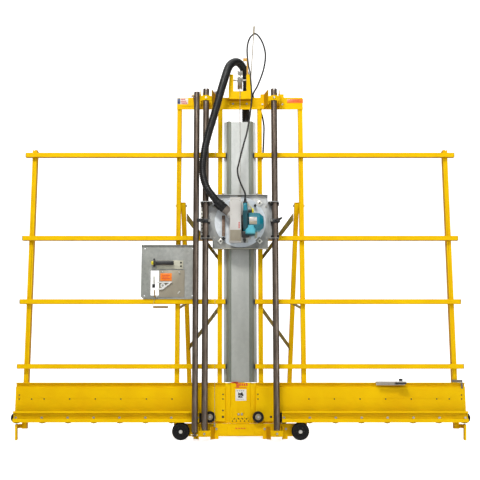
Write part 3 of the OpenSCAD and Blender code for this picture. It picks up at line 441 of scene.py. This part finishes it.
# ---------------------------------------------------------------- CAD nodes: finishes and soft edges
ROLLERS = [n for n in NODES if n.startswith("roller_") and n != "roller_channels"]
FINISH = {
    YELLOW: ["posts", "top_beam", "base_beam", "base_cover", "tube_brackets", "wing_panels",
             "roller_channels", "rack_rails", "end_feet", "pulley_bracket", "rear_legs"],
    OLIVE_SHADE: ["braces"],
    DUCT: ["dust_channel"],
    GALV: ["spare_insert", "counterweight_tube"],
    PLATE: ["carriage_plate"],
    DISC_AND_SHEEN: ["turntable"],
    PIPE: ["guide_tubes", "hold_down_bar"],
    ZINC: ["frame_bolts", "axles", "guide_wire", "pulley", "counterweight", "lift_cable"],
    DARK: ["carriage_bearings"],
    PLASTIC: ["rail_caps", "lock_left", "lock_right", "index_pin"],
    TEAL: ["saw_body"],
    RED: ["saw_trigger"],
    GREY: ["dust_shroud", "material_stop"],
    BLADE: ["saw_blade"],
    GOLD: ["hose_arm"],
    TAN: ["cord_whip"],
    WHITE: ["spare_knife"],
    HOSE: ["hose", "cord"],
    RUBBER: ["wheel_left", "wheel_right"] + ROLLERS,
}
for finish, names in FINISH.items():
    for node_name in names:
        NODES[node_name].data.materials.clear()
        NODES[node_name].data.materials.append(finish)
SOFT_EDGES = {"posts": 1.6, "rack_rails": 1.6, "top_beam": 1.2, "base_beam": 1.2, "wing_panels": 0.8,
              "roller_channels": 0.8, "end_feet": 0.8, "rear_legs": 1.6, "pulley_bracket": 1.0,
              "tube_brackets": 0.8, "base_cover": 0.6, "dust_shroud": 1.0, "material_stop": 1.0,
              "spare_knife": 1.0, "rail_caps": 1.5, "braces": 0.6, "hose_arm": 0.8}
for node_name, width in SOFT_EDGES.items():
    weld = NODES[node_name].modifiers.new("weld", "WELD")
    weld.merge_threshold = 0.00002
    bevel = NODES[node_name].modifiers.new("soft_edges", "BEVEL")
    bevel.width = width * MM
    bevel.segments = 2
    bevel.limit_method = "ANGLE"
    bevel.angle_limit = math.radians(40)
    bevel.harden_normals = False

# ---------------------------------------------------------------- saw: motor, grip, covers
ON_SAW = "turntable"
MOTOR_Y, MOTOR_Z = -71, -16


def octagon(x, r, y=MOTOR_Y, z=MOTOR_Z, squeeze=1.0):
    c = r / math.cos(math.pi / 8)
    return [(x, y + c * math.cos(math.pi / 8 + k * math.pi / 4) * squeeze,
             z + c * math.sin(math.pi / 8 + k * math.pi / 4)) for k in range(8)]


motor = piece("saw_motor_case", ON_SAW,
              loft([octagon(54, 58), octagon(58, 62), octagon(112, 62), octagon(116, 60), octagon(128, 60),
                    octagon(156, 38)], 2.6, 3), TEAL)
# Painted shade: the motor's end face is drawn in the shaded teal.
piece("saw_motor_end", ON_SAW, loft([octagon(155, 34), octagon(158, 32)], 1.2), TEAL_SHADE)
slots = []
for k in range(7):
    z = MOTOR_Z - 18 + k * 6
    slots.append(block((157.4, MOTOR_Y - 18, z - 1.3), (158.8, MOTOR_Y + 18, z + 1.3), 0.4))
piece("saw_vents", ON_SAW, merged(slots), PLASTIC)
piece("saw_brush_cap", ON_SAW, merged([
    pin((86, MOTOR_Y, MOTOR_Z + 61), (86, MOTOR_Y, MOTOR_Z + 65), 9, 1.5),
    block((78, MOTOR_Y - 1, MOTOR_Z + 64.6), (94, MOTOR_Y + 1, MOTOR_Z + 66), 0.3)]), PLASTIC)
piece("saw_label", ON_SAW, block((58.5, MOTOR_Y - 63.1, MOTOR_Z - 1), (110, MOTOR_Y - 61.8, MOTOR_Z + 25),
                                 0.5),
      LABEL_SILVER)
piece("saw_label_lower", ON_SAW,
      block((58.5, MOTOR_Y - 63.1, MOTOR_Z - 25), (110, MOTOR_Y - 61.8, MOTOR_Z - 2), 0.5), INNER)


def superellipse(centre, half_a, half_b, axis_a, axis_b, power=2.6, sides=24):
    out = []
    for k in range(sides):
        a = 2 * math.pi * k / sides
        ca, sa = math.cos(a), math.sin(a)
        out.append(Vector(centre) + Vector(axis_a) * half_a * math.copysign(abs(ca) ** (2 / power), ca)
                   + Vector(axis_b) * half_b * math.copysign(abs(sa) ** (2 / power), sa))
    return out


gear_rings = []
for x, r in ((8, 40), (10, 46), (30, 50), (48, 54), (55, 54)):
    gear_rings.append(superellipse((x, MOTOR_Y + 4, MOTOR_Z - 4), r * 0.86, r * 1.2,
                                   (0, 1, 0), (0, 0, 1), 2.4, 28))
piece("saw_gear_case", ON_SAW, loft(gear_rings, 1.2), DARK)

# The D-shaped grip: rounded sections swept along an open path
grip_path = [(37, -84, 50), (35, -104, 72), (33, -130, 90), (32, -149, 95), (32, -157, 84), (32, -157, 64),
             (32, -155, 36), (32, -150, 8), (33, -144, -18), (34, -134, -44), (35, -118, -66), (36, -98, -76)]
path = resample(spline(grip_path, 6), 6)
grip = []
for i, p in enumerate(path):
    d = (path[min(i + 1, len(path) - 1)] - path[max(i - 1, 0)]).normalized()
    side = Vector((1, 0, 0))
    depth = d.cross(side).normalized()
    t = i / (len(path) - 1)
    half = 15 - 1.5 * math.sin(math.pi * min(max((t - 0.2) / 0.4, 0), 1)) + 3 * max(0, t - 0.6)
    grip.append(superellipse(p, half, half + 1.5, side, depth, 2.5))
piece("saw_grip", ON_SAW, loft(grip, 1.5), TEAL)
# Painted shade: a darker teal sleeve over the lower part of the grip, where the handle is in shade.
grip_shade = []
for i, p in enumerate(path):
    t = i / (len(path) - 1)
    if 0.46 < t < 0.93:
        d = (path[min(i + 1, len(path) - 1)] - path[max(i - 1, 0)]).normalized()
        side = Vector((1, 0, 0))
        depth = d.cross(side).normalized()
        grip_shade.append(superellipse(p, 16.6 + 3 * max(0, t - 0.6), 17.6 + 3 * max(0, t - 0.6), side, depth, 2.5))
piece("saw_grip_shade", ON_SAW, loft(grip_shade, 1.0), TEAL_SHADE)
piece("saw_strain_relief", ON_SAW, lathe((32, -152, 92), (0, 0.05, 1),
      [(0, 14), (12, 14.5), (16, 12), (18, 10), (22, 10.5), (24, 9), (28, 9.5), (30, 8), (34, 8.5), (36, 7),
       (40, 7.5), (42, 6), (48, 6.2), (54, 4.4)], 20), PLASTIC)

# Lower front cover: a flared boss
cover = []
for y, hx0, hx1, hz0, hz1 in ((-96, 32, 100, -106, -52), (-126, 31, 102, -107, -50),
                              (-138, 36, 100, -103, -54), (-145, 44, 88, -98, -62)):
    cover.append([(hx0 + 13, y, hz1 + 6), (hx1 - 13, y, hz1 + 6), (hx1 - 10, y, hz1 - 8), (hx1, y, hz1 - 24),
                  (hx1 - 3, y, hz0), (hx0 + 3, y, hz0), (hx0, y, hz1 - 24), (hx0 + 10, y, hz1 - 8)])
piece("saw_lower_cover", ON_SAW, loft(cover, 3, 3), TEAL_LIGHT)
piece("saw_lower_base", ON_SAW, block((8, -124, -126), (60, -60, -84), 6, 3), PLASTIC)
# Painted shade: the band under the lower cover is drawn in the shaded teal.
piece("saw_cover_skirt", ON_SAW, block((36, -134, -112), (98, -70, -101), 3, 2), TEAL_SHADE)
piece("saw_depth_bar", ON_SAW, merged([
    block((8, -98, -131), (72, -92, -114), 1), block((60, -98, -136), (72, -92, -114), 1)]), GREY)
piece("saw_lever_knob", ON_SAW, merged([pin((28.6, -90, -142), (28.6, -112, -142), 11, 3),
      block((21, -108, -160), (36, -92, -134), 3)]), PLASTIC)
piece("saw_shoe", ON_SAW, merged([block((-70, -6.2, -143), (-32, -3.3, 143), 0.6),
      block((-12, -6.2, -143), (54, -3.3, 143), 0.6), block((-33, -6.2, 73), (-11, -3.3, 143), 0.6),
      block((-33, -6.2, -143), (-11, -3.3, -133), 0.6)]), GALV)
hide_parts("saw_body")

# Shroud details: rivets, a plain marking, a painted-shade sheet on the lower face, the fold line and the
# flanges
rivets = []
for x in (-61, -4):
    for z in (124, 30, -64):
        rivets.append(lathe((x, -128, z), (0, -1, 0), [(0, 3.2), (0.9, 2.6), (1.4, 1.2)], 16))
piece("shroud_rivets", ON_SAW, merged(rivets), ZINC)
piece("shroud_marking", ON_SAW, merged([
    block((-13, -128.7, -66 + k * 11), (-4.5, -127.9, -58 + k * 11), 0.2) for k in range(4)]), RED)
# Painted shade: a darker sheet laid over the shroud's lower facet.
piece("shroud_lower_face_shade", ON_SAW, loft([
    [(x, y - 0.9, z), (x, y + 0.3, z)] + [(4, y + 0.3, z), (4, y - 0.9, z)]
    for x, y, z in ((-69.5, -92.6, -146), (-69.5, -127.9, -77.6))], 0.2), INNER)
piece("shroud_fold_line", ON_SAW, block((-66, -128.9, 132), (4, -127.9, 134), 0.3), GREY)
piece("shroud_flange", ON_SAW, merged([
    block((-78, -7.6, -141), (-70, -6.4, 141), 0.3), block((4.6, -7.6, -141), (14, -6.4, 141), 0.3)]), GREY)

# Slotted depth strap, its knob, and the small parts around the saw
strap = []
strap.append(block((-125, -22, -103), (-104, -19, 42), 1))
for z in (-62, -36):
    strap.append(pin((-114, -24, z), (-114, -18.5, z), 4.4, 0.8))
piece("depth_strap", ON_SAW, merged(strap), RUST)
piece("depth_strap_feet", ON_SAW, merged([block((-114, -19, 26), (-104, -3.4, 40), 1),
      block((-114, -19, -88), (-104, -3.4, -76), 1)]), ZINC)
piece("depth_strap_knob", ON_SAW, merged([
      pin((-114, -18, -120), (-114, -34, -120), 11, 3), block((-126, -30, -123), (-102, -22, -117), 1.5),
      block((-117, -30, -132), (-111, -22, -108), 1.5),
      pin((-114, -18, -116), (-114, -3.4, -116), 4.5, 0.6)]), PLASTIC)
piece("switch_block", ON_SAW, block((55, -30, 56), (80, -3.4, 84), 2), PLASTIC)
piece("switch_tag", ON_SAW, block((79, -20, 60), (92, -8, 92), 2), YELLOW_TAG)
wire_pts = [Vector(p) for p in ((52, -20, 124), (62, -14, 114), (74, -9, 102), (86, -12, 92))]
piece("tag_cord", ON_SAW, sweep(resample(spline(wire_pts, 6), 4), lambda i, n: 1.4, 8), YELLOW_TAG)
piece("hold_strap", ON_SAW, loft([
    [(100, -6.5, -66), (118, -6.5, -60), (118, -3.4, -60), (100, -3.4, -66)],
    [(98, -6.5, -118), (116, -6.5, -110), (116, -3.4, -110), (98, -3.4, -118)]], 0.5), BEIGE)
piece("saw_arbor_bolt", ON_SAW, hex_head((8, -40, -30), (14, -40, -30), 9, 13), ZINC)

# Hose port cuff between shroud and hose
PORT = Vector((-70, -66, 50))
TILT = Vector((-math.sin(math.radians(50)), 0, math.cos(math.radians(50))))
piece("hose_port_band", ON_SAW, lathe(PORT + TILT * 6, TILT, [
      (0, 28.2), (0.6, 28.8), (30, 28.8), (31, 30.2), (38, 30.2), (39, 28.4)], 36), TAUPE)

# ---------------------------------------------------------------- hose
hose_start = PORT + Vector((0, PLATE_Y, CARRIAGE_Z))
hose_pts = [hose_start + 51.5 * TILT, hose_start + 90 * TILT, (-186, -172, 1612), (-226, -182, 1668),
            (-250, -184, 1740), (-256, -184, 1830), (-240, -184, 1950), (-212, -180, 2070),
            (-178, -172, 2190), (-145, -160, 2320), (-112, -132, 2450), (-74, -76, 2580), (-20, -10, 2634),
            (26, 44, 2606), (50, 84, 2520), (46, 94, 2400), (44, 94, 2250), (52, 90, 2140), (57, 60, 2068),
            (57, 20, 2068)]
hose_line = resample(spline(hose_pts, 14), 3.2)
FREE_Z = 1668                           # below this the hose and cord are cut into their lower pieces and above this the cord is held by the frame
CORD_HELD_Z = 2780                      # and above this the cord
RIB = (25.4, 24.2, 22.6, 24.0)
SWELL = (40, 260, 3.2)                  # rings over which the hose grows, and by how much


def rib(i, n):
    share = min(max((i - SWELL[0]) / (SWELL[1] - SWELL[0]), 0), 1) if n > 200 else 0
    return RIB[i % 4] + SWELL[2] * share


split = min(range(len(hose_line) // 2 + 1), key=lambda i: abs(hose_line[i].z - FREE_Z))
split -= split % 4
hose_low = piece("hose_lower", None, sweep(hose_line[:split + 1], rib, 22), HOSE, LEAN, 60)
hose_high = piece("hose_upper", None, sweep(hose_line[split:], rib, 22), HOSE, LEAN, 60)
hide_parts("hose")
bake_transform(hose_low)
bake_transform(hose_high)
cuff = [(0, 28), (1, 32), (22, 32.5), (23, 30), (27, 30), (28, 34), (52, 34.5), (53, 31), (57, 31),
        (58, 33), (74, 32), (76, 26.5)]
piece("hose_cuff", ON_SAW, lathe(PORT + TILT * 44, TILT, cuff, 36, caps=False), HOSE)

# ---------------------------------------------------------------- cord
cord_pts = [(32, PLATE_Y - 150, CARRIAGE_Z + 144), (30, -232, 1624), (12, -214, 1668), (-10, -180, 1735),
            (-19, -150, 1800), (-8, -128, 1860), (22, -116, 1985), (44, -110, 2065), (58, -106, 2139),
            (70, -102, 2212), (80, -98, 2301), (82, -94, 2367), (78, -90, 2440), (72, -86, 2519),
            (61, -76, 2580), (52, -58, 2681), (57, -36, 2761), (78, -16, 2822), (114, 0, 2852),
            (150, 14, 2820), (176, 24, 2760), (186, 35, 2690), (170, 50, 2593), (130, 60, 2484),
            (96, 68, 2418), (112, 78, 2370), (150, 84, 2300), (172, 84, 2200), (172, 84, 2110),
            (166, 84, 1990), (160, 84, 1940)]
cord_line = resample(spline(cord_pts, 10), 8)
low_end = next(i for i, p in enumerate(cord_line) if p.z > FREE_Z)
high_end = next(i for i, p in enumerate(cord_line) if p.z > CORD_HELD_Z)


def cord_r(i, n):
    return 5.8


cord_low = piece("cord_lower", None, sweep(cord_line[:low_end + 1], cord_r, 12), HOSE, LEAN, 60)
cord_mid = piece("cord_middle", None, sweep(cord_line[low_end:high_end + 1], cord_r, 12), HOSE, LEAN, 60)
piece("cord_upper", "frame", sweep(cord_line[high_end:], cord_r, 12), HOSE, LEAN, 60)
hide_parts("cord")
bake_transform(cord_low)
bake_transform(cord_mid)

# ---------------------------------------------------------------- lift cable
PULLEY_Y, PULLEY_Z, CABLE_R = -22, 2492, 62
REAR_Y = PULLEY_Y + CABLE_R
LUG_Z, WEIGHT_TOP_Z = CARRIAGE_Z + 190, 918     # where the cable ends on the carriage and the counterweight
front_line = [Vector((0, PULLEY_Y - CABLE_R, LUG_Z + k * (PULLEY_Z - LUG_Z) / 40)) for k in range(41)]
arc = [Vector((0, PULLEY_Y - CABLE_R * math.cos(math.pi * k / 24),
               PULLEY_Z + CABLE_R * math.sin(math.pi * k / 24)))
       for k in range(25)]
back_line = [Vector((0, REAR_Y, WEIGHT_TOP_Z + k * (PULLEY_Z - WEIGHT_TOP_Z) / 40)) for k in range(41)]


def strand(i, n):
    return 2.0


cable_front = piece("lift_cable_front", None, sweep(front_line, strand, 10), ZINC, LEAN)
cable_back = piece("lift_cable_back", None, sweep(back_line, strand, 10), ZINC, LEAN)
cable_top = piece("lift_cable_top", "frame", sweep(arc, strand, 10), ZINC, LEAN)
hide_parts("lift_cable")
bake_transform(cable_front)
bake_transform(cable_back)

# ---------------------------------------------------------------- carriage hardware
hardware, nuts = [], []
for s in (-1, 1):
    for z in (-108, 108):
        nuts.append(hex_head((s * 180, 0, z), (s * 180, -5, z), 6, 9))
    for z in (-122, 134):
        for x in (205, 252):
            inset = z - 12 if z > 0 else z + 12
            nuts.append(hex_head((s * x, 0.5, inset), (s * x, -5, inset), 6.5, 9))
        for x in (208, 254):
            inward = -1 if z > 0 else 1
            nuts.append(hex_head((s * x, -40, z + inward * 3), (s * x, -40, z + inward * 9), 7, 10))
for i in range(9):
    for x in (-263, 257):
        hardware.append(pin((x, 0.6, -98 + i * 26), (x, 2.4, -98 + i * 26), 4.2, 0.5, 16))
piece("bracket_faces", "carriage", merged([
    block((-271.5, 2.0, -117), (-255, 2.95, 129), 0.3), block((252, 2.0, -117), (261.5, 2.95, 129), 0.3)]),
      ZINC_BRIGHT)
# Painted highlight: a light strip along the front of the plate's bottom flange, where its top catches the
# light.
piece("plate_lip_highlight", "carriage", block((-188, -19, -188.8), (188, -18.02, -185.6), 0.3), BEIGE)
piece("carriage_nuts", "carriage", merged(nuts), ZINC)
piece("bracket_screws", "carriage", merged(hardware), DARK)
clips, screws = [], []
for a in (45, 135, 225, 315):
    r = math.radians(a)
    u, w = Vector((math.sin(r), 0, math.cos(r))), Vector((math.cos(r), 0, -math.sin(r)))
    corner = lambda along, across, y: u * along + w * across + Vector((0, y, 0))
    clips.append(loft([[corner(174, -14, y), corner(203, -14, y), corner(203, 14, y), corner(174, 14, y)]
                       for y in (-7.6, -6.05)], 0.6))
    screws.append(lathe(corner(188, 0, -7.6), (0, -1, 0), [(0, 6), (1.6, 5.6), (2.6, 3.0)], 16))
piece("clip_plates", "carriage", merged(clips), ZINC_BRIGHT)
piece("clip_screws", "carriage", merged(screws), DARK)
straps = []
for s in (-1, 1):
    straps.append(block((s * 237 - 33, -57, -13), (s * 237 + 33, -50, 13), 3))
straps.append(block((-291, -70, -12), (-266, -64, 12), 2))
straps.append(block((-272, -68, -12), (-264, -52, 12), 1.5))
piece("lock_straps", "carriage", merged(straps), PLASTIC)
knobs = []
for x in (-237 - 26, -237 + 26, 237 - 26):
    knobs.append(lathe((x, -56, 0), (0, -1, 0), [(0, 9), (3, 9), (5, 7), (9, 6), (12, 4)], 20))
piece("lock_nuts", "carriage", merged(knobs), ZINC)
piece("cable_lug", "carriage", merged([block((-16, -1, 152), (16, 3.2, 188), 1.5),
      pin((0, -1.5, 174), (0, 5, 174), 7, 1)]), ZINC)

# ---------------------------------------------------------------- labels and holes on the frame
# Plain stand-ins for the printed labels: an arch and blocks, a bar, a card with a grid
arch = [block((-47 + 23 * math.cos(a) - 3.5, -16.0, 345 + 22 * math.sin(a) - 3.5),
              (-22 + 10 * math.cos(a) + 3.5, -15.05, 345 + 22 * math.sin(a) + 3.5), 0.2)
        for a in (math.pi * k / 8 - 0.3 for k in range(7))]
bars = [block((-8 + k * 15, -16.0, 343 + (k % 2)), (3 + k * 15, -15.05, 362 - (k % 3)),
              0.3) for k in range(4)]
piece("cover_label", "frame", merged(arch + bars), RED_PRINT, LEAN)
piece("cover_label_line", "frame", block((-40, -16.0, 331), (42, -15.05, 335), 0.3), RED_PRINT, LEAN)
piece("cover_label_foot", "frame", merged([
    block((-34 + k * 18, -44.6, 63), (-22 + k * 18, -41.9, 69), 0.2) for k in range(4)]), RED_PRINT, LEAN)
piece("cover_plate_label", "frame", block((-33.5, -16.1, 246), (39.5, -15.05, 321), 0.4), WHITE, LEAN)
patch = [block((-24 + k * 6, -16.5, 254), (-20 + k * 6, -16.0, 256), 0) for k in range(8)]
patch += [block((-26 + k * 14, -16.5, 309), (-16 + k * 14, -16.0, 313), 0) for k in range(4)]
for i in range(7):
    for k in range(7):
        if random.random() < 0.6:
            patch.append(block((-15.5 + i * 5, -16.5, 266 + k * 5), (-10.5 + i * 5, -16.0, 271 + k * 5), 0))
piece("cover_plate_print", "frame", merged(patch), DARK, LEAN)
piece("cover_bolts", "frame", merged([
    lathe((x, -15.5, 157), (0, -1, 0), [(0, 9), (2, 8.6), (5, 6), (6.5, 2.5)], 24) for x in (-13, 10)]),
    ZINC, LEAN)
piece("beam_label_left", "frame", merged([
    block((-446, -4.4, 2321), (-369, -3.1, 2365), 0.3)]), WHITE, LEAN)
piece("beam_label_left_field", "frame", block((-444, -4.9, 2323), (-424, -4.3, 2363), 0.2), BLUE, LEAN)
piece("beam_label_left_bars", "frame", merged([
    block((-420, -4.9, 2325 + k * 14), (-373 - 8 * k, -4.3, 2333 + k * 14), 0.2) for k in range(3)]), RED,
    LEAN)
piece("beam_label_right", "frame", block((334, -4.2, 2329), (449, -3.1, 2359), 0.3), ORANGE, LEAN)
piece("beam_label_right_print", "frame", merged([
    block((344, -4.7, 2335 + k * 8), (438 - 16 * (k % 2), -4.1, 2339 + k * 8), 0.2) for k in range(3)]),
    RED, LEAN)

# ---------------------------------------------------------------- spare insert, panels, stop and rollers
insert_lo, insert_hi = cad_local("spare_insert")
INSERT = LEAN @ Matrix.Translation((insert_lo.x, insert_hi.y, insert_lo.z))
piece("spare_panel", "frame", block((124, -6, 14), (298, -4.9, 200), 0.8), INNER, INSERT)
piece("spare_label", "frame", block((132, -6.9, 126), (210, -5.9, 178), 0.4), ORANGE, INSERT)
piece("spare_label_print", "frame", merged([
    block((142, -7.3, 138 + k * 12), (200 - 12 * (k % 2), -6.8, 142 + k * 12), 0.2) for k in range(3)]),
    RED, INSERT)
piece("spare_bracket", "frame", block((107, -10, 207), (288, -8.9, 266), 1), BEIGE, INSERT)
piece("spare_bracket_holes", "frame", merged([
    pin((272, -10.6, z), (272, -9.8, z), 6.5, 0.3) for z in (226, 250)]), RUBBER, INSERT)
piece("spare_grip", "frame", lathe((98, -32, 246), (1, 0, 0), [
    (0, 13), (2, 15.5)] + [(6 + 5 * k, 15.6 if k % 2 else 14.8) for k in range(23)] + [(122, 15.4),
                                                                                       (126, 12)], 28),
      PLASTIC, INSERT)
piece("spare_grip_guard", "frame", lathe((86, -32, 246), (1, 0, 0), [(0, 29), (2, 31), (8, 31), (10, 29)],
                                         32),
      PLASTIC, INSERT)
piece("spare_grip_button", "frame", lathe((86, -32, 246), (-1, 0, 0),
                                          [(0, 14), (11, 13.6), (14, 11), (16, 6)], 24),
      YELLOW_TAG, INSERT)
piece("spare_hooks", "frame", merged([
    pin((256, -6, 186), (266, -13, 178), 5, 1), pin((252, -7, 36), (266, -7, 54), 5, 1.5),
    pin((146, -6, 188), (146, -11, 188), 5, 1),
    lathe((110, -12, 16), (0, -1, 0), [(0, 7), (5, 6), (8, 3)], 20)]),
      ZINC_BRIGHT, INSERT)
piece("spare_latch", "frame", block((84, -20, 104), (99, -14, 160), 1.5), ZINC_BRIGHT, INSERT)
piece("spare_latch_block", "frame", block((78, -24, 76), (98, -12, 102), 2), PLASTIC, INSERT)
piece("spare_cord_strap", "frame", loft([
    [(93, -16, 10), (101, -16, 10), (101, -13.6, 10), (93, -13.6, 10)],
    [(88, -20, 62), (97, -20, 62), (97, -17.6, 62), (88, -17.6, 62)]], 0.4), BROWN_BAR, INSERT)
hang = [Vector(q) for q in ((97, -15, 12), (95, -22, -10), (91, -36, -24), (87, -38, -42), (92, -38, -54))]
piece("spare_hanging_cord", "frame", sweep(resample(spline(hang, 8), 5), lambda i, n: 1.5, 8), ZINC, INSERT)
piece("spare_hanging_bar", "frame", pin((88, -38, -57), (190, -38, -57), 7, 2), BROWN_BAR, INSERT)

heads = []
for s in (-1, 1):
    row = [(457 + 171 * k, 257) for k in range(6)]
    for x, z in [(117, 288), (117, 257)] + row + [(1395, 257), (1478, 257), (1478, 283)]:
        heads.append(lathe((s * x, -25.3, z), (0, -1, 0), [(0, 4.8), (1.4, 4.4), (3, 2.4)], 16))
for x, z, r in ((-117, 140, 8), (203, 140, 8), (-117, 182, 6)):
    heads.append(lathe((x, -25.3, z), (0, -1, 0), [(0, r), (1.4, r - 0.6), (3, r - 3)], 20))
piece("panel_screws", "frame", merged(heads), DARK, LEAN)
# The yellow panel behind the centre cover, black triangles below its bolts as painted shade in its slots, and
# a black sheet behind them as further painted shade
piece("centre_panel", "frame", merged([
    block((-104, -9, 114), (104, -7, 364), 0.5), block((-300, -9, 98), (300, -7, 114), 0.5)]), YELLOW, LEAN)
slots = []
for x, z, way in [(-41 + 27 * k, 126, 1) for k in range(4)] + [(-54 + 27 * k, 114, -1) for k in range(5)]:
    triangle = [(x - 5.5, z + 4.5 * way), (x, z - 4.5 * way), (x + 5.5, z + 4.5 * way)]
    slots.append(plate_xz(triangle, -15.9, -15.05, 0.2))
piece("cover_slot_shade", "frame", merged(slots), RUBBER, LEAN)
piece("cover_shade", "frame", block((-60, -12.4, 101), (60, -11.2, 150), 0.3), RUBBER, LEAN)
for side, x in (("left", -203), ("right", 117)):
    ring = lathe((x, -69.4, 140), (0, -1, 0), [(0, 8.5), (0, 19.9), (1.6, 19), (1.6, 8.5), (0, 8.5)], 32,
                 caps=False)
    bmesh.ops.remove_doubles(ring, verts=ring.verts, dist=0.001)
    piece(f"roller_{side}_hub", f"roller_{side}_1", ring, TAN, LEAN)
stop_lo, stop_hi = cad_local("material_stop")
STOP = LEAN @ Matrix.Translation(((stop_lo.x + stop_hi.x) / 2, 0, 366))
piece("stop_block", "material_stop", block((33, -93, -12), (97, -35, 0.4), 2), PLASTIC, STOP)
piece("stop_knob", "material_stop", lathe((64, -60, 6.6), (0, 0, 1), [
    (0, 8), (3, 8), (4, 12.5), (16, 13), (18, 10)], 20), PLASTIC, STOP)
piece("wing_end_bracket", "frame", merged([
    block((1416, -28.6, 366.5), (1488, -25.7, 384), 0.8),
    block((1477, -28.6, 326), (1489, -25.7, 366), 0.8)] + [
    pin((x, -29.4, z), (x, -28.2, z), 3, 0.3) for x, z in ((1424, 375), (1483, 375), (1483, 336))]), TAUPE,
    LEAN)

# ---------------------------------------------------------------- wheels: hubs and studs
for side, joint in (("left", "wheel_left_spin"), ("right", "wheel_right_spin")):
    at = Vector(JOINTS[joint]["pos_m"]) / MM
    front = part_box("wheel_" + side)[0].y / MM
    hub = lathe((at.x, front + 6, at.z), (0, -1, 0), [(0, 13), (4, 13), (6, 11), (8, 8.5), (10, 5)], 28)
    piece(f"wheel_{side}_hub", "wheel_" + side, hub, ZINC, FLOOR)
    ring = []
    for k in range(6):
        a = math.radians(60 * k)
        ring.append(pin((at.x + 25 * math.cos(a), front + 6.5, at.z + 25 * math.sin(a)),
                        (at.x + 25 * math.cos(a), front + 4, at.z + 25 * math.sin(a)), 3.2, 0.5, 12))
    piece(f"wheel_{side}_studs", "wheel_" + side, merged(ring), DARK, FLOOR)

# ---------------------------------------------------------------- stage, light and camera
# A floor that curves up into a wall behind the machine. The wall hides the machine from any camera
# that stands behind it.
floor_bm = bmesh.new()
FRONT_Y, WALL_Y, HALF_WIDTH, WALL_TOP = -9, 5.5, 14, 11
FLOOR_Z, CURVE_R, CURVE_STEPS = -0.001, 1.5, 10
profile = [(FRONT_Y, FLOOR_Z), (WALL_Y - CURVE_R, FLOOR_Z)]
for k in range(1, CURVE_STEPS + 1):
    a = math.pi / 2 * k / CURVE_STEPS
    profile.append((WALL_Y - CURVE_R + CURVE_R * math.sin(a), FLOOR_Z + CURVE_R - CURVE_R * math.cos(a)))
profile.append((WALL_Y, WALL_TOP))
rows = [[floor_bm.verts.new((x, y, z)) for y, z in profile] for x in (-HALF_WIDTH, HALF_WIDTH)]
for i in range(len(profile) - 1):
    floor_bm.faces.new((rows[0][i], rows[1][i], rows[1][i + 1], rows[0][i + 1]))
floor_mesh = bpy.data.meshes.new("stage_floor")
floor_bm.to_mesh(floor_mesh)
floor_bm.free()
floor_mesh.shade_smooth()
floor = bpy.data.objects.new("stage_floor", floor_mesh)
bpy.context.scene.collection.objects.link(floor)
floor_mat = bpy.data.materials.new("stage_white")
floor_mat.use_nodes = True
floor_shader = floor_mat.node_tree.nodes["Principled BSDF"]
floor_shader.inputs["Base Color"].default_value = (0.86, 0.86, 0.86, 1)
floor_shader.inputs["Roughness"].default_value = 0.9
floor_shader.inputs["Emission Color"].default_value = (1, 1, 1, 1)
ray = floor_mat.node_tree.nodes.new("ShaderNodeLightPath")
glow = floor_mat.node_tree.nodes.new("ShaderNodeMapRange")
glow.inputs["To Min"].default_value, glow.inputs["To Max"].default_value = 0.16, 0.8
floor_mat.node_tree.links.new(ray.outputs["Is Camera Ray"], glow.inputs["Value"])
floor_mat.node_tree.links.new(glow.outputs["Result"], floor_shader.inputs["Emission Strength"])
floor_mesh.materials.append(floor_mat)

# The room: bright except towards the two sides, so that metal shows a bright middle and dark flanks
world = bpy.data.worlds.new("studio")
bpy.context.scene.world = world
world.use_nodes = True
sky = world.node_tree
geometry = sky.nodes.new("ShaderNodeTexCoord")
split_xyz = sky.nodes.new("ShaderNodeSeparateXYZ")
side = sky.nodes.new("ShaderNodeMath")
side.operation = "ABSOLUTE"
shade = sky.nodes.new("ShaderNodeValToRGB")
shade.color_ramp.elements[0].position, shade.color_ramp.elements[1].position = 0.35, 0.95
shade.color_ramp.elements[0].color, shade.color_ramp.elements[1].color = (1, 1, 1, 1), (0.12, 0.12, 0.12, 1)
sky.links.new(geometry.outputs["Generated"], split_xyz.inputs["Vector"])
sky.links.new(split_xyz.outputs["X"], side.inputs[0])
sky.links.new(side.outputs["Value"], shade.inputs["Fac"])
sky.links.new(shade.outputs["Color"], sky.nodes["Background"].inputs["Color"])
sky.nodes["Background"].inputs["Strength"].default_value = 0.42


def area(name, at, aim, size, power, tint=(1, 1, 1)):
    data = bpy.data.lights.new(name, "AREA")
    data.shape = "RECTANGLE"
    data.size, data.size_y = size
    data.energy = power
    data.color = tint
    obj = bpy.data.objects.new(name, data)
    obj.location = at
    obj.rotation_mode = "QUATERNION"
    obj.rotation_quaternion = (Vector(aim) - Vector(at)).to_track_quat("-Z", "Y")
    bpy.context.scene.collection.objects.link(obj)


area("key", (-0.9, -3.4, 5.6), (0, 0, 1.0), (1.5, 1.0), 190, (1.0, 0.985, 0.96))
area("fill", (3.6, -4.6, 2.4), (0, 0, 1.2), (2.6, 2.6), 60, (0.96, 0.98, 1.0))
area("top", (0, 0.9, 5.2), (0, 0, 1.0), (5.0, 1.5), 45)

camera_data = bpy.data.cameras.new("camera")
camera = bpy.data.objects.new("camera", camera_data)
bpy.context.scene.collection.objects.link(camera)
camera.location = (-0.065, -6.2325, 1.32)
camera.rotation_euler = (math.radians(90), 0, 0)
camera_data.lens = 66
camera_data.sensor_width = 36
camera_data.shift_x = 0.0193
camera_data.clip_start, camera_data.clip_end = 0.05, 200
bpy.context.scene.camera = camera
bpy.context.scene.view_settings.view_transform = "Standard"
bpy.context.scene.view_settings.look = "None"
